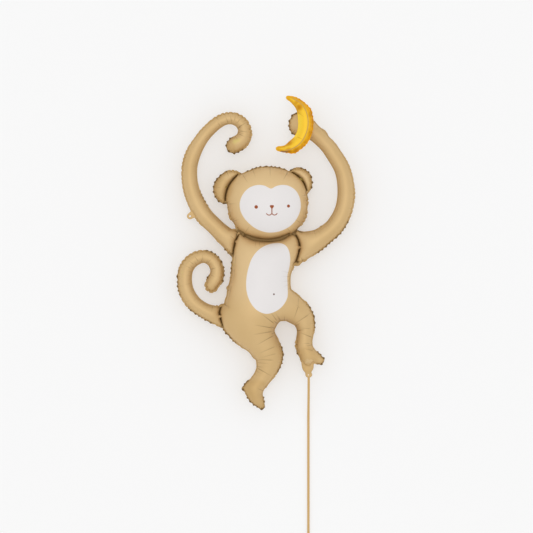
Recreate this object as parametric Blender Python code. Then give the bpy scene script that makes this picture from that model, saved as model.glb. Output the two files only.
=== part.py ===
"""A monkey foil balloon that lies on its back, with a banana balloon in its hand and a ribbon on its filling tail.

The figure is drawn from the front, as the maker of such a balloon cuts its two foil sheets: every limb is a
stroke, which is a smooth line with a half width at a few stations. The strokes are joined into one outline,
a flat flange is left along it, weld lines part the head, ears, arms and tail from the body, and the gas then
lifts the two sheets apart between the welds. +X is to the right of the drawing, +Y is up in it, and the
printed front faces +Z. The origin is under the middle of the balloon, on the surface it lies on.
"""

from math import ceil, cos, pi, sin

import bmesh
import bpy
import numpy as np
from mathutils import Vector
from mathutils.geometry import delaunay_2d_cdt
from mathutils.kdtree import KDTree

# Driving sizes, in metres
BALLOON_HEIGHT = 1.050
FLANGE_WIDTH = 0.005
FOIL_PAIR = 0.0015
REST_DEPTH = 0.066
BANANA_FLANGE = 0.0035
BANANA_BACK_DEPTH = 0.009
PIECE_GAP = 0.0003
TAB_RADIUS = 0.0106
TAB_HOLE_RADIUS = 0.0034
RIBBON_WIDTH = 0.008
RIBBON_KNOT_WIDTH = 0.012

# A soap film between the same welds rises to a full circle over a long tube, as foil does. Over a disc it
# rises to 0.7 of the radius and foil only to 0.6, so the lift loses this share of its height at full scale.
FLATTENING = 2.0

# Mesh spacing, in metres, and the least distance between points as a share of it
OUTLINE_STEP = 0.0150
BANANA_STEP = 0.0105
FINE_STEP = 0.0060
EDGE_ROW = 0.0070
FIELD_SPACING = 1.1
OUTLINE_CLEARANCE = 0.4
ROW_CLEARANCE = 0.5
FIELD_CLEARANCE = 0.62
FINE_CLEARANCE = 0.3
RELAXING_ROUNDS = 3
LEAST_TURN_COSINE = 0.6
SAME_POINT = 1e-5
JOIN_DISTANCE = 1e-7

# The front drawing: its unit is a share of the figure's height, x runs to the right and y runs down
DRAWING_HEIGHT = 314.0
DRAWING_MIDDLE = (265.83, 252.35)
UNIT = BALLOON_HEIGHT / DRAWING_HEIGHT

# Limbs, as strokes of (x, y, half width) in drawing units
HEAD_MIDDLE = (267.5, 202.2)
HEAD_HALF_SIZE = (40.6, 36.1)
HEAD_SQUARENESS = 2.15
LEFT_EAR = [(231.5, 184.0, 14.2), (227.0, 189.8, 14.0)]
RIGHT_EAR = [(298.3, 180.5, 13.3), (299.8, 183.7, 12.8)]
LEFT_JOWL = [(238.0, 214.0, 9.6), (243.0, 222.5, 8.8), (247.5, 228.0, 7.0)]
RIGHT_JOWL = [(297.3, 211.5, 9.3), (293.6, 219.3, 10.5), (286.5, 227.5, 7.8)]
TORSO = [
    (267.0, 246.0, 28.0),
    (263.6, 260.0, 31.3),
    (260.6, 280.0, 30.6),
    (258.7, 296.0, 33.4),
    (252.0, 314.0, 28.6),
]
LEFT_ARM = [
    (238.4, 246.6, 12.2),
    (226.6, 237.4, 10.0),
    (216.3, 227.7, 8.9),
    (202.2, 213.0, 9.0),
    (192.0, 192.0, 8.4),
    (189.3, 171.0, 8.1),
    (192.9, 153.8, 7.9),
    (202.0, 137.7, 6.9),
    (213.5, 125.8, 6.5),
    (224.0, 119.3, 6.3),
    (233.5, 118.6, 6.4),
    (241.5, 123.2, 6.7),
    (245.2, 131.4, 7.5),
    (242.3, 140.0, 8.2),
    (234.0, 145.4, 8.4),
]
RIGHT_UNDERARM = [(288.0, 250.0, 12.0), (296.2, 262.2, 4.4)]
RIGHT_ARM = [
    (300.0, 247.0, 15.5),
    (312.0, 243.0, 12.5),
    (323.3, 236.0, 9.9),
    (335.2, 225.6, 9.4),
    (343.8, 209.0, 9.1),
    (346.2, 188.7, 8.6),
    (342.0, 168.7, 8.2),
    (331.0, 150.0, 8.0),
    (321.0, 138.6, 8.3),
    (311.5, 131.0, 9.0),
    (301.2, 124.8, 12.8),
]
TAIL = [
    (230.0, 316.0, 13.5),
    (221.0, 315.6, 12.0),
    (212.3, 313.8, 9.2),
    (203.1, 309.7, 7.9),
    (192.9, 302.0, 8.0),
    (186.0, 289.8, 7.9),
    (184.6, 276.5, 7.7),
    (187.8, 265.8, 7.4),
    (195.3, 258.9, 7.1),
    (204.4, 256.4, 6.9),
    (213.0, 260.8, 7.0),
    (217.3, 270.0, 7.3),
    (215.8, 278.6, 7.4),
    (211.0, 285.6, 6.7),
]
LEFT_LEG = [
    (250.0, 318.4, 29.0),
    (255.0, 331.3, 24.0),
    (262.5, 343.2, 17.1),
    (268.6, 356.0, 15.0),
    (268.6, 363.3, 12.9),
    (266.0, 371.3, 10.7),
    (260.3, 379.6, 9.7),
    (254.2, 387.0, 10.2),
]
LEFT_FOOT = [(253.8, 387.5, 10.3), (256.0, 396.2, 8.6), (259.4, 402.2, 6.1), (261.1, 404.8, 4.0)]
CROTCH = [(276.0, 313.0, 9.2), (284.0, 312.6, 9.2), (290.0, 313.4, 9.3), (294.0, 316.0, 9.0)]
RIGHT_LEG = [
    (275.0, 298.0, 18.0),
    (286.7, 303.9, 15.0),
    (298.3, 311.8, 13.1),
    (305.1, 325.0, 10.2),
    (304.4, 340.0, 8.5),
    (305.0, 348.0, 8.5),
    (311.0, 355.0, 7.2),
    (319.4, 359.6, 5.5),
]
RIGHT_HEEL = [(305.0, 350.0, 8.2), (307.6, 359.6, 7.1)]

# Flat foil that the gas doesn't reach
FILLING_TAIL = [(307.5, 362.0, 6.4), (308.0, 369.0, 5.4), (308.3, 372.8, 2.9), (308.7, 374.4, 3.5)]
FILLING_TAIL_FLAT = [(307.6, 370.2, 6.6), (308.3, 373.0, 5.0), (308.7, 376.0, 6.0)]
TAB_MIDDLE = (190.0, 216.2)
TAB_ROOT = (197.0, 211.6, 4.4)

# Weld lines across the figure, strokes too
NECK_WELD = [
    (237.5, 231.2, 0.8),
    (247.0, 235.7, 1.2),
    (257.0, 238.3, 2.1),
    (267.5, 239.2, 2.4),
    (278.0, 238.2, 2.1),
    (286.5, 235.3, 1.2),
    (296.5, 231.2, 0.8),
]
LEFT_SHOULDER_WELD = [(239.1, 232.7, 0.8), (234.9, 243.8, 0.8), (232.4, 258.5, 0.8)]
RIGHT_SHOULDER_WELD = [(294.9, 232.3, 0.8), (299.5, 246.0, 0.8), (295.4, 264.5, 0.8)]
LEFT_EAR_WELD = [
    (242.5, 171.0, 0.8),
    (235.0, 177.5, 0.8),
    (228.6, 186.0, 0.8),
    (225.6, 196.0, 0.8),
    (225.4, 206.0, 0.8),
]
RIGHT_EAR_WELD = [(286.5, 169.8, 0.8), (296.0, 174.6, 0.8), (303.2, 182.0, 0.8), (308.4, 195.0, 0.8)]
TAIL_WELD = [(226.0, 301.0, 0.8), (220.6, 308.0, 0.8), (219.9, 315.5, 0.8), (224.0, 329.5, 0.8)]

# The banana, a stroke as well
BANANA = [
    (288.0, 98.2, 2.4),
    (292.8, 99.9, 3.3),
    (298.4, 104.3, 4.7),
    (303.0, 111.0, 6.6),
    (305.2, 118.3, 7.6),
    (305.5, 126.5, 7.6),
    (303.8, 134.5, 7.4),
    (299.5, 141.8, 7.1),
    (292.5, 147.2, 5.7),
    (285.0, 149.6, 3.6),
    (278.0, 149.2, 2.5),
]

# The ribbon's route, in metres from the end of the filling tail: how far towards -Y and how far above the floor
RIBBON_START_Y = 0.0005
RIBBON_ROUTE = [
    (0.000, 0.0660),
    (0.015, 0.0655),
    (0.030, 0.0630),
    (0.050, 0.0560),
    (0.070, 0.0450),
    (0.090, 0.0320),
    (0.110, 0.0195),
    (0.130, 0.0105),
    (0.150, 0.0062),
    (0.175, 0.0062),
    (0.230, 0.0062),
    (0.300, 0.0062),
    (0.380, 0.0062),
    (0.460, 0.0062),
    (0.520, 0.0062),
    (0.560, 0.0062),
    (0.590, 0.0062),
]
RIBBON_STEP = 0.020

# Colours, as linear red, green and blue
TAN_FOIL = (0.60, 0.43, 0.22)
YELLOW_FOIL = (0.93, 0.55, 0.03)
RIBBON_TAN = (0.60, 0.40, 0.18)


def material(name, colour, roughness, metallic):
    """A Principled material with one colour."""
    made = bpy.data.materials.new(name)
    made.use_nodes = True
    shader = made.node_tree.nodes["Principled BSDF"]
    shader.inputs["Base Color"].default_value = (*colour, 1.0)
    shader.inputs["Roughness"].default_value = roughness
    shader.inputs["Metallic"].default_value = metallic
    return made


def on_floor(x, y):
    """A point of the drawing, in metres."""
    return np.array([(x - DRAWING_MIDDLE[0]) * UNIT, (DRAWING_MIDDLE[1] - y) * UNIT])


def smooth_line(points, step):
    """A curve through the points, cut into about equal steps: a Catmull-Rom spline in any number of columns."""
    points = np.array(points, float)
    ends = np.vstack([2 * points[0] - points[1], points, 2 * points[-1] - points[-2]])
    fine = []
    shares = np.linspace(0, 1, 24, endpoint=False)[:, None]
    for before, start, end, after in zip(ends, ends[1:], ends[2:], ends[3:]):
        slope_in = (end - before) / 2
        slope_out = (after - start) / 2
        bend = 3 * (end - start) - 2 * slope_in - slope_out
        twist = 2 * (start - end) + slope_in + slope_out
        fine.append(start + slope_in * shares + bend * shares**2 + twist * shares**3)
    fine = np.vstack(fine + [points[-1:]])
    return resampled(fine, step)


def resampled(line, step):
    """The same open line with its points about one step apart, measured over its first two columns."""
    lengths = np.linalg.norm(np.diff(line[:, :2], axis=0), axis=1)
    along = np.concatenate([[0], np.cumsum(lengths)])
    count = max(2, ceil(along[-1] / step))
    wanted = np.linspace(0, along[-1], count + 1)
    return np.stack([np.interp(wanted, along, column) for column in line.T], axis=1)


def stroke_outline(stations, step):
    """The closed outline of a stroke: both sides of its line, and a round end at each end."""
    line = smooth_line([(*on_floor(x, y), half * UNIT) for x, y, half in stations], step)
    middle = line[:, :2]
    half = line[:, 2:]
    tangent = np.gradient(middle, axis=0)
    tangent /= np.linalg.norm(tangent, axis=1)[:, None]
    normal = np.stack([-tangent[:, 1], tangent[:, 0]], axis=1)
    left = middle + normal * half
    right = middle - normal * half
    end_cap = round_end(middle[-1], tangent[-1], half[-1, 0], step)
    start_cap = round_end(middle[0], -tangent[0], half[0, 0], step)
    return np.vstack([right, end_cap, left[::-1], start_cap])


def round_end(middle, ahead, radius, step):
    """The points of a half circle round the end of a stroke, without the two on its sides."""
    count = max(3, ceil(pi * radius / step))
    side = np.array([ahead[1], -ahead[0]])
    angles = np.linspace(0, pi, count + 1)[1:-1]
    return np.array([middle + radius * (side * cos(a) + ahead * sin(a)) for a in angles])


def oval_outline(middle, half_size, squareness, step):
    """A closed oval, a little squarer than an ellipse."""
    count = ceil(2 * pi * sum(half_size) / 2 * UNIT / step)
    angles = np.arange(count) * 2 * pi / count
    power = 2 / squareness
    x = middle[0] + half_size[0] * np.sign(np.cos(angles)) * np.abs(np.cos(angles)) ** power
    y = middle[1] - half_size[1] * np.sign(np.sin(angles)) * np.abs(np.sin(angles)) ** power
    return np.array([on_floor(*point) for point in zip(x, y)])


def circle_outline(middle, radius, step):
    """A closed circle."""
    count = max(12, ceil(2 * pi * radius / step))
    angles = np.arange(count) * 2 * pi / count
    return middle + radius * np.stack([np.cos(angles), np.sin(angles)], axis=1)


def joined_outline(outlines, shortest):
    """The closed loops round everything that the outlines cover, without edges under the shortest length."""
    points = [Vector(point) for outline in outlines for point in outline]
    starts = np.cumsum([0] + [len(outline) for outline in outlines])
    faces = [list(range(start, end)) for start, end in zip(starts, starts[1:])]
    corners, _, triangles, _, _, covers = delaunay_2d_cdt(points, [], faces, 1, JOIN_DISTANCE)
    following = {}
    for triangle, cover in zip(triangles, covers):
        if cover:
            for start, end in zip(triangle, triangle[1:] + triangle[:1]):
                following[start, end] = True
    ahead = {start: end for start, end in following if (end, start) not in following}
    loops = []
    while ahead:
        start, corner = ahead.popitem()
        loop = [start]
        while corner != start:
            loop.append(corner)
            corner = ahead.pop(corner)
        loops.append(without_short_edges(np.array([corners[i][:] for i in loop]), shortest))
    return loops


def without_short_edges(loop, shortest):
    """The loop without points that lie closer than the shortest length to the one kept before them."""
    kept = [loop[0]]
    for point in loop[1:]:
        if np.linalg.norm(point - kept[-1]) >= shortest:
            kept.append(point)
    if np.linalg.norm(kept[0] - kept[-1]) < shortest:
        kept.pop()
    return np.array(kept)


def inset_loop(loop, distance):
    """The loop moved inwards. It runs anticlockwise round what it encloses."""
    before = loop - np.roll(loop, 1, axis=0)
    after = np.roll(loop, -1, axis=0) - loop
    normals = []
    for edge in (before, after):
        normal = np.stack([-edge[:, 1], edge[:, 0]], axis=1)
        normals.append(normal / np.linalg.norm(normal, axis=1)[:, None])
    middle = normals[0] + normals[1]
    middle /= np.linalg.norm(middle, axis=1)[:, None]
    stretch = 1 / np.maximum((middle * normals[0]).sum(axis=1), LEAST_TURN_COSINE)
    return loop + middle * (distance * stretch)[:, None]


def inside(points, loops):
    """Whether each point lies inside the loops, by counting the edges to its right."""
    points = np.asarray(points)
    crossed = np.zeros(len(points), int)
    for loop in loops:
        starts = loop
        ends = np.roll(loop, -1, axis=0)
        for (x0, y0), (x1, y1) in zip(starts, ends):
            spans = (points[:, 1] < y0) != (points[:, 1] < y1)
            rise = y1 - y0 if y1 != y0 else 1.0
            crossing = x0 + (points[:, 1] - y0) * (x1 - x0) / rise
            crossed += spans & (points[:, 0] < crossing)
    return crossed % 2 == 1


def nearest(points, others):
    """How far each point is from the nearest of the others."""
    tree = KDTree(len(others))
    for index, other in enumerate(others):
        tree.insert((*other, 0.0), index)
    tree.balance()
    return np.array([tree.find((*point, 0.0))[2] for point in points])


def field_points(loops, step, keep_off):
    """Points of a triangular grid inside the loops that stay clear of the given points."""
    low = np.vstack(loops).min(axis=0)
    high = np.vstack(loops).max(axis=0)
    rows = np.arange(low[1], high[1], step * sin(pi / 3))
    columns = np.arange(low[0], high[0], step)
    grid = [(x + step / 2 * (row % 2), y) for row, y in enumerate(rows) for x in columns]
    grid = np.array(grid)
    grid = grid[inside(grid, loops)]
    return grid[nearest(grid, keep_off) > FIELD_CLEARANCE * step]


def triangulated(fixed_loops, free_points):
    """Delaunay triangles between the loops' edges and the free points, as (points, triangles)."""
    points = [Vector(point) for loop in fixed_loops for point in loop]
    edges = []
    start = 0
    for loop in fixed_loops:
        count = len(loop)
        edges += [(start + i, start + (i + 1) % count) for i in range(count)]
        start += count
    points += [Vector(point) for point in free_points]
    corners, _, triangles, _, _, _ = delaunay_2d_cdt(points, edges, [], 0, JOIN_DISTANCE)
    return np.array([corner[:] for corner in corners]), np.array(triangles)


def relaxed(points, triangles, free):
    """The points, with each free one moved to the middle of its neighbours."""
    total = np.zeros_like(points)
    count = np.zeros(len(points))
    for a, b in ((0, 1), (1, 2), (2, 0)):
        for start, end in ((a, b), (b, a)):
            np.add.at(total, triangles[:, start], points[triangles[:, end]])
            np.add.at(count, triangles[:, start], 1)
    moved = points.copy()
    moved[free] = total[free] / count[free, None]
    return moved


def film_height(points, triangles, welded):
    """The height of a soap film over the triangles, held down where it is welded: finite elements."""
    corner = points[triangles]
    edges = [corner[:, 2] - corner[:, 1], corner[:, 0] - corner[:, 2], corner[:, 1] - corner[:, 0]]
    area = 0.5 * (edges[2][:, 0] * -edges[1][:, 1] + edges[2][:, 1] * edges[1][:, 0])
    stiffness = np.zeros((len(points), len(points)))
    load = np.zeros(len(points))
    for a in range(3):
        np.add.at(load, triangles[:, a], area / 3)
        for b in range(3):
            share = (edges[a] * edges[b]).sum(axis=1) / (4 * area)
            np.add.at(stiffness, (triangles[:, a], triangles[:, b]), share)
    free = np.flatnonzero(~welded)
    height = np.zeros(len(points))
    height[free] = np.linalg.solve(stiffness[np.ix_(free, free)], load[free])
    return height


def foil_sheet(outlines, flat_outlines, welds, holes, flange, step):
    """A flat sheet and how far the gas lifts it, as (points, triangles, lifts).

    The outlines are blown up inside their flange. The flat outlines, the welds and what is outside the seam stay flat.
    """
    blown = joined_outline(outlines, OUTLINE_CLEARANCE * step)
    edge = joined_outline(blown + flat_outlines, FINE_CLEARANCE * FINE_STEP) if flat_outlines else blown
    seam = [inset_loop(loop, flange) for loop in blown]
    row = [inset_loop(loop, EDGE_ROW) for loop in seam]
    fixed = edge + seam + welds + holes
    fixed_points = np.vstack(fixed)
    row_points = np.vstack(row)
    row_points = row_points[nearest(row_points, fixed_points) > ROW_CLEARANCE * EDGE_ROW]
    field = field_points(row, FIELD_SPACING * step, np.vstack([fixed_points, row_points]))
    free_points = np.vstack([row_points, field])
    for _ in range(RELAXING_ROUNDS):
        points, triangles = triangulated(fixed, free_points)
        moved = relaxed(points, triangles, nearest(points, fixed_points) > SAME_POINT)
        is_field = nearest(points, np.vstack([fixed_points, row_points])) > SAME_POINT
        field = moved[is_field & inside(points, seam)]
        free_points = np.vstack([row_points, field])
    points, triangles = triangulated(fixed, free_points)
    centres = points[triangles].mean(axis=1)
    kept = inside(centres, edge) & ~inside(centres, holes)
    triangles = triangles[kept]
    used, index = np.unique(triangles, return_inverse=True)
    points = points[used]
    triangles = index.reshape(-1, 3)
    lifted = inside(points, seam) & (nearest(points, fixed_points) > SAME_POINT)
    for weld in welds:
        lifted &= ~inside(points, [weld])
    film = np.sqrt(2 * film_height(points, triangles, ~lifted))
    lifts = film * (1 - FLATTENING * film / BALLOON_HEIGHT)
    return points, triangles, np.maximum(lifts, FOIL_PAIR / 2)


def blown_up(name, sheet, middle_height, back_depth, made_of):
    """The closed solid between the sheet lifted up and the sheet pushed down, flat where it lies on something."""
    points, triangles, lifts = sheet
    mesh = bmesh.new()
    lift_layer = mesh.verts.layers.float.new("lift")
    corners = [mesh.verts.new((*point, middle_height)) for point in points]
    for corner, lift in zip(corners, lifts):
        corner[lift_layer] = lift
    for triangle in triangles:
        mesh.faces.new([corners[i] for i in triangle])
    extruded = bmesh.ops.extrude_face_region(mesh, geom=mesh.faces[:])
    front = {item for item in extruded["geom"] if isinstance(item, bmesh.types.BMVert)}
    for corner in mesh.verts:
        if corner in front:
            corner.co.z += corner[lift_layer]
        else:
            corner.co.z -= min(corner[lift_layer], back_depth)
    bmesh.ops.recalc_face_normals(mesh, faces=mesh.faces[:])
    bmesh.ops.triangulate(mesh, faces=mesh.faces[:])
    data = bpy.data.meshes.new(name)
    mesh.to_mesh(data)
    mesh.free()
    data.shade_smooth()
    data.materials.append(made_of)
    made = bpy.data.objects.new(name, data)
    bpy.context.scene.collection.objects.link(made)


def monkey_balloon(made_of):
    """The foil figure with its flange, filling tail and hanging tab. It gives back its sheet."""
    limbs = (LEFT_EAR, RIGHT_EAR, LEFT_JOWL, RIGHT_JOWL, TORSO, LEFT_ARM, RIGHT_UNDERARM, RIGHT_ARM, TAIL)
    limbs += (CROTCH, LEFT_LEG, LEFT_FOOT, RIGHT_LEG, RIGHT_HEEL)
    outlines = [stroke_outline(limb, OUTLINE_STEP) for limb in limbs]
    outlines.append(oval_outline(HEAD_MIDDLE, HEAD_HALF_SIZE, HEAD_SQUARENESS, OUTLINE_STEP))
    tab_middle = on_floor(*TAB_MIDDLE)
    tab = stroke_outline([(*TAB_MIDDLE, TAB_RADIUS / UNIT), TAB_ROOT], FINE_STEP)
    flats = [tab, stroke_outline(FILLING_TAIL, FINE_STEP)]
    weld_lines = (NECK_WELD, LEFT_SHOULDER_WELD, RIGHT_SHOULDER_WELD, LEFT_EAR_WELD, RIGHT_EAR_WELD, TAIL_WELD)
    welds = [stroke_outline(line, OUTLINE_STEP) for line in weld_lines]
    welds.append(stroke_outline(FILLING_TAIL_FLAT, FINE_STEP))
    hole = circle_outline(tab_middle, TAB_HOLE_RADIUS, FINE_STEP)
    sheet = foil_sheet(outlines, flats, welds, [hole], FLANGE_WIDTH, OUTLINE_STEP)
    blown_up("monkey_balloon", sheet, REST_DEPTH, REST_DEPTH, made_of)
    return sheet


def banana_balloon(made_of, hand_sheet):
    """The banana, whose flattened back lies on the highest point of the hand behind it."""
    outline = stroke_outline(BANANA, BANANA_STEP)
    sheet = foil_sheet([outline], [], [], [], BANANA_FLANGE, BANANA_STEP)
    points, _, lifts = hand_sheet
    hand_lift = lifts[inside(points, [outline])].max()
    middle_height = REST_DEPTH + hand_lift + PIECE_GAP + BANANA_BACK_DEPTH
    blown_up("banana_balloon", sheet, middle_height, BANANA_BACK_DEPTH, made_of)


def ribbon(made_of):
    """The ribbon, a tube along its route that swells into a knot at its far end."""
    tail_x, tail_y = on_floor(FILLING_TAIL[-1][0], FILLING_TAIL[-1][1] + FILLING_TAIL[-1][2])
    start_y = tail_y - RIBBON_START_Y
    route = smooth_line(RIBBON_ROUTE, RIBBON_STEP)
    curve = bpy.data.curves.new("ribbon", "CURVE")
    curve.dimensions = "3D"
    curve.bevel_depth = RIBBON_WIDTH / 2
    curve.bevel_resolution = 2
    curve.use_fill_caps = True
    spline = curve.splines.new("POLY")
    spline.points.add(len(route) - 1)
    for point, (along, height) in zip(spline.points, route):
        point.co = (tail_x, start_y - along, height, 1.0)
    for point in spline.points[-3:-1]:
        point.radius = RIBBON_KNOT_WIDTH / RIBBON_WIDTH
    curve.materials.append(made_of)
    made = bpy.data.objects.new("ribbon", curve)
    bpy.context.scene.collection.objects.link(made)


def build():
    for old in list(bpy.data.objects):
        bpy.data.objects.remove(old)
    tan_foil = material("tan_foil", TAN_FOIL, 0.35, 0.6)
    yellow_foil = material("yellow_foil", YELLOW_FOIL, 0.35, 0.4)
    ribbon_tan = material("ribbon_tan", RIBBON_TAN, 0.45, 0.0)
    hand_sheet = monkey_balloon(tan_foil)
    banana_balloon(yellow_foil, hand_sheet)
    ribbon(ribbon_tan)


build()
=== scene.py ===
# %% [markdown]
# # A monkey foil balloon
#
# The balloon is two sheets of tan metallised film, welded round one outline and blown up. This lesson takes
# the plain solids of the balloon as a fixed frame, and makes the foil itself round them: the tight seams with
# their crimped flange, the radial creases, the weld lines between the limbs, the printed face and belly, the
# small banana balloon and the flat ribbon. The balloon lies on its back, with its printed front up.

# %% The frame
from math import pi, radians
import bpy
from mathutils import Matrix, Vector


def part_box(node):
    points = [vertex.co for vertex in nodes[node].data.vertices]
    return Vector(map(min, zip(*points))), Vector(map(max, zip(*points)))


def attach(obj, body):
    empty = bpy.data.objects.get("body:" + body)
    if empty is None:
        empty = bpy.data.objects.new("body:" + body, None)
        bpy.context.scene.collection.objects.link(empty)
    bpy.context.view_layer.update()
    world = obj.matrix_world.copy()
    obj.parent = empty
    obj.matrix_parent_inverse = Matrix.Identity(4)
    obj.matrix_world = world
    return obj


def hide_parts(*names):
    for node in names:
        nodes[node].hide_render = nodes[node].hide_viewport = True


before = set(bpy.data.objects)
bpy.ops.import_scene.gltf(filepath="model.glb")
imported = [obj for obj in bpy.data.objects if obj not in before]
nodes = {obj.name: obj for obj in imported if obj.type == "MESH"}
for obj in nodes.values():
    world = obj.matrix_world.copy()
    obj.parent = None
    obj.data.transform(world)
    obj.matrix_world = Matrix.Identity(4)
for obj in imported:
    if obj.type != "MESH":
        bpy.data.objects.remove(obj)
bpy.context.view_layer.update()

from types import SimpleNamespace

import bmesh
import bpy
import numpy as np
from mathutils import Vector, noise
from mathutils.kdtree import KDTree

print("nodes of the frame:", sorted(nodes))

# %% [markdown]
# ## Places on the balloon
#
# Small features are easiest to place where they are seen, so this lesson keeps a drawing of the front, seen
# from the camera. Its unit is a 314th of the figure's height, x runs to the right and y runs down. The
# drawing lies in the plane of the welds, halfway between the two sheets.

# %% The drawing and the camera's place
BALLOON_HEIGHT = 1.050
UNIT = BALLOON_HEIGHT / 314
DRAWING_MIDDLE = (265.83, 252.35)
WELD_HEIGHT = 0.066
FOIL_HALF = 0.00075
PICTURE_SIDE = 533
CAMERA_HEIGHT = 8.0


def on_drawing(x, y):
    """A point of the drawing in metres, in the plane of the welds."""
    return np.array([(x - DRAWING_MIDDLE[0]) * UNIT, (DRAWING_MIDDLE[1] - y) * UNIT])


picture_middle = on_drawing(PICTURE_SIDE / 2, PICTURE_SIDE / 2)


def seen_places(points):
    """Where the camera sees each point, as a place in the plane of the welds."""
    rise = points[:, 2:] - WELD_HEIGHT
    return picture_middle + (points[:, :2] - picture_middle) * CAMERA_HEIGHT / (CAMERA_HEIGHT - rise)


# %% [markdown]
# ## The camera
#
# The picture shows the balloon square on from the front. The balloon lies on its back here, so the camera
# hangs above it and looks straight down. A long lens far away keeps the limbs from spreading.

# %% The camera
SENSOR = 0.036


def placed(name, data):
    """A new object with this data in the scene."""
    made = bpy.data.objects.new(name, data)
    bpy.context.scene.collection.objects.link(made)
    return made


camera_data = bpy.data.cameras.new("camera")
camera_data.sensor_width = SENSOR * 1000
camera_data.lens = camera_data.sensor_width * CAMERA_HEIGHT / (PICTURE_SIDE * UNIT)
camera = placed("camera", camera_data)
camera.location = (*picture_middle, WELD_HEIGHT + CAMERA_HEIGHT)
bpy.context.scene.camera = camera
print("lens:", round(camera_data.lens, 1), "mm, seen from", CAMERA_HEIGHT, "m")

# %% [markdown]
# ## The ribbon's route
#
# The ribbon starts behind the balloon's filling tail, falls to the floor in one soft curve and lies straight,
# as it does when it has just been let go. Its far end has a plain knot, just outside the picture. The route
# is a list of points, how far towards -Y and how far above the floor, and a smooth line runs through them.

# %% The ribbon's route
RIBBON_WIDTH = 0.008
FILLING_TAIL_END = (308.7, 374.4)
FILLING_TAIL_ROUND = 3.5
TIE_GAP = 0.0005
tail_tip = on_drawing(FILLING_TAIL_END[0], FILLING_TAIL_END[1] + FILLING_TAIL_ROUND)
RIBBON_START = tail_tip - np.array([0.0, TIE_GAP])
LYING_HEIGHT = 0.0062
RIBBON_FALL = [
    (0, WELD_HEIGHT), (0.015, 0.0655), (0.030, 0.0630), (0.050, 0.0560), (0.070, 0.0450), (0.090, 0.0320),
    (0.110, 0.0195), (0.130, 0.0105),
]
RIBBON_ON_FLOOR = (0.150, 0.175, 0.230, 0.300, 0.380, 0.460, 0.520, 0.560, 0.590)
RIBBON_ROUTE = RIBBON_FALL + [(along, LYING_HEIGHT) for along in RIBBON_ON_FLOOR]
RIBBON_STEP = 0.006
SPLINE_CUTS = 24
SPLINE_SHARES = np.linspace(0, 1, SPLINE_CUTS, endpoint=False)[:, None]


def lengths(vectors):
    """How long each vector is."""
    return np.linalg.norm(vectors, axis=1)


def smooth_line(points, step, closed=False):
    """A Catmull-Rom curve through the points, cut into about equal steps."""
    points = np.array(points, float)
    if closed:
        ends = np.vstack([points[-1:], points, points[:2]])
    else:
        ends = np.vstack([2 * points[0] - points[1], points, 2 * points[-1] - points[-2]])
    fine = []
    for before, start, end, after in zip(ends, ends[1:], ends[2:], ends[3:]):
        slope_in = (end - before) / 2
        slope_out = (after - start) / 2
        bend = 3 * (end - start) - 2 * slope_in - slope_out
        twist = 2 * (start - end) + slope_in + slope_out
        fine.append(start + slope_in * SPLINE_SHARES + bend * SPLINE_SHARES**2 + twist * SPLINE_SHARES**3)
    fine = np.vstack(fine + [points[:1] if closed else points[-1:]])
    along = np.concatenate([[0], np.cumsum(lengths(np.diff(fine, axis=0)))])
    count = int(np.ceil(along[-1] / step))
    wanted = np.linspace(0, along[-1], count + 1)
    return np.stack([np.interp(wanted, along, column) for column in fine.T], axis=1)


route = smooth_line(RIBBON_ROUTE, RIBBON_STEP)
ribbon_path = [(RIBBON_START[0], RIBBON_START[1] - along, height) for along, height in route]
ribbon_length = float(lengths(np.diff(ribbon_path, axis=0)).sum())
print("ribbon length:", round(ribbon_length, 3), "m")

# %% [markdown]
# ## Shader helpers
#
# Every material below is a Principled BSDF fed by a few nodes. Short helpers keep them readable: one adds a
# node and sets or links its inputs, and the others are the few kinds of node that are needed again and again.

# %% Shader helpers


def feed(tree, node, inputs):
    """Sets a node's inputs. A value is put in, and a socket is linked."""
    for key, value in inputs.items():
        if isinstance(value, bpy.types.NodeSocket):
            tree.links.new(value, node.inputs[key])
        else:
            node.inputs[key].default_value = value


def add(tree, kind, inputs=None, **settings):
    """A new node."""
    made = tree.nodes.new(kind)
    for name, value in settings.items():
        setattr(made, name, value)
    feed(tree, made, inputs or {})
    return made


def calc(tree, operation, *values):
    """A Math node's result."""
    return add(tree, "ShaderNodeMath", dict(enumerate(values)), operation=operation).outputs[0]


def product(tree, result, *others):
    """All these values multiplied."""
    for other in others:
        result = calc(tree, "MULTIPLY", result, other)
    return result


def ramp(tree, value, start, end, low=0.0, kind="LINEAR"):
    """A Map Range node's result: low up to the start, 1 from the end on, and even between them."""
    inputs = {"Value": value, "From Min": start, "From Max": end, "To Min": low}
    return add(tree, "ShaderNodeMapRange", inputs, interpolation_type=kind).outputs[0]


def mixed(tree, factor, first, second):
    """A Mix Color node's result."""
    return add(tree, "ShaderNodeMix", {0: factor, 6: first, 7: second}, data_type="RGBA").outputs[2]


def cloudy(tree, scale, detail):
    """A Noise Texture's value, fixed to the object."""
    place = add(tree, "ShaderNodeTexCoord").outputs["Object"]
    return add(tree, "ShaderNodeTexNoise", {"Vector": place, "Scale": scale, "Detail": detail}).outputs["Fac"]


def attribute(tree, name):
    """A float attribute's value."""
    return add(tree, "ShaderNodeAttribute", attribute_name=name).outputs["Fac"]


# %% Materials and groups
FLOAT = "NodeSocketFloat"
VECTOR = "NodeSocketVector"
COLOUR = "NodeSocketColor"


def new_material(name):
    """An empty material and its node tree, with only a Principled BSDF and an output."""
    made = bpy.data.materials.new(name)
    made.use_nodes = True
    return made, made.node_tree, made.node_tree.nodes["Principled BSDF"]


def new_group(name, inputs, outputs):
    """A node group, as (group, its given values, its results). Each label comes with its kind of socket."""
    group = bpy.data.node_groups.new(name, "ShaderNodeTree")
    for way, sockets in (("INPUT", inputs), ("OUTPUT", outputs)):
        for label, kind in sockets.items():
            group.interface.new_socket(label, in_out=way, socket_type=kind)
    given = group.nodes.new("NodeGroupInput").outputs
    return group, given, group.nodes.new("NodeGroupOutput")


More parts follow.
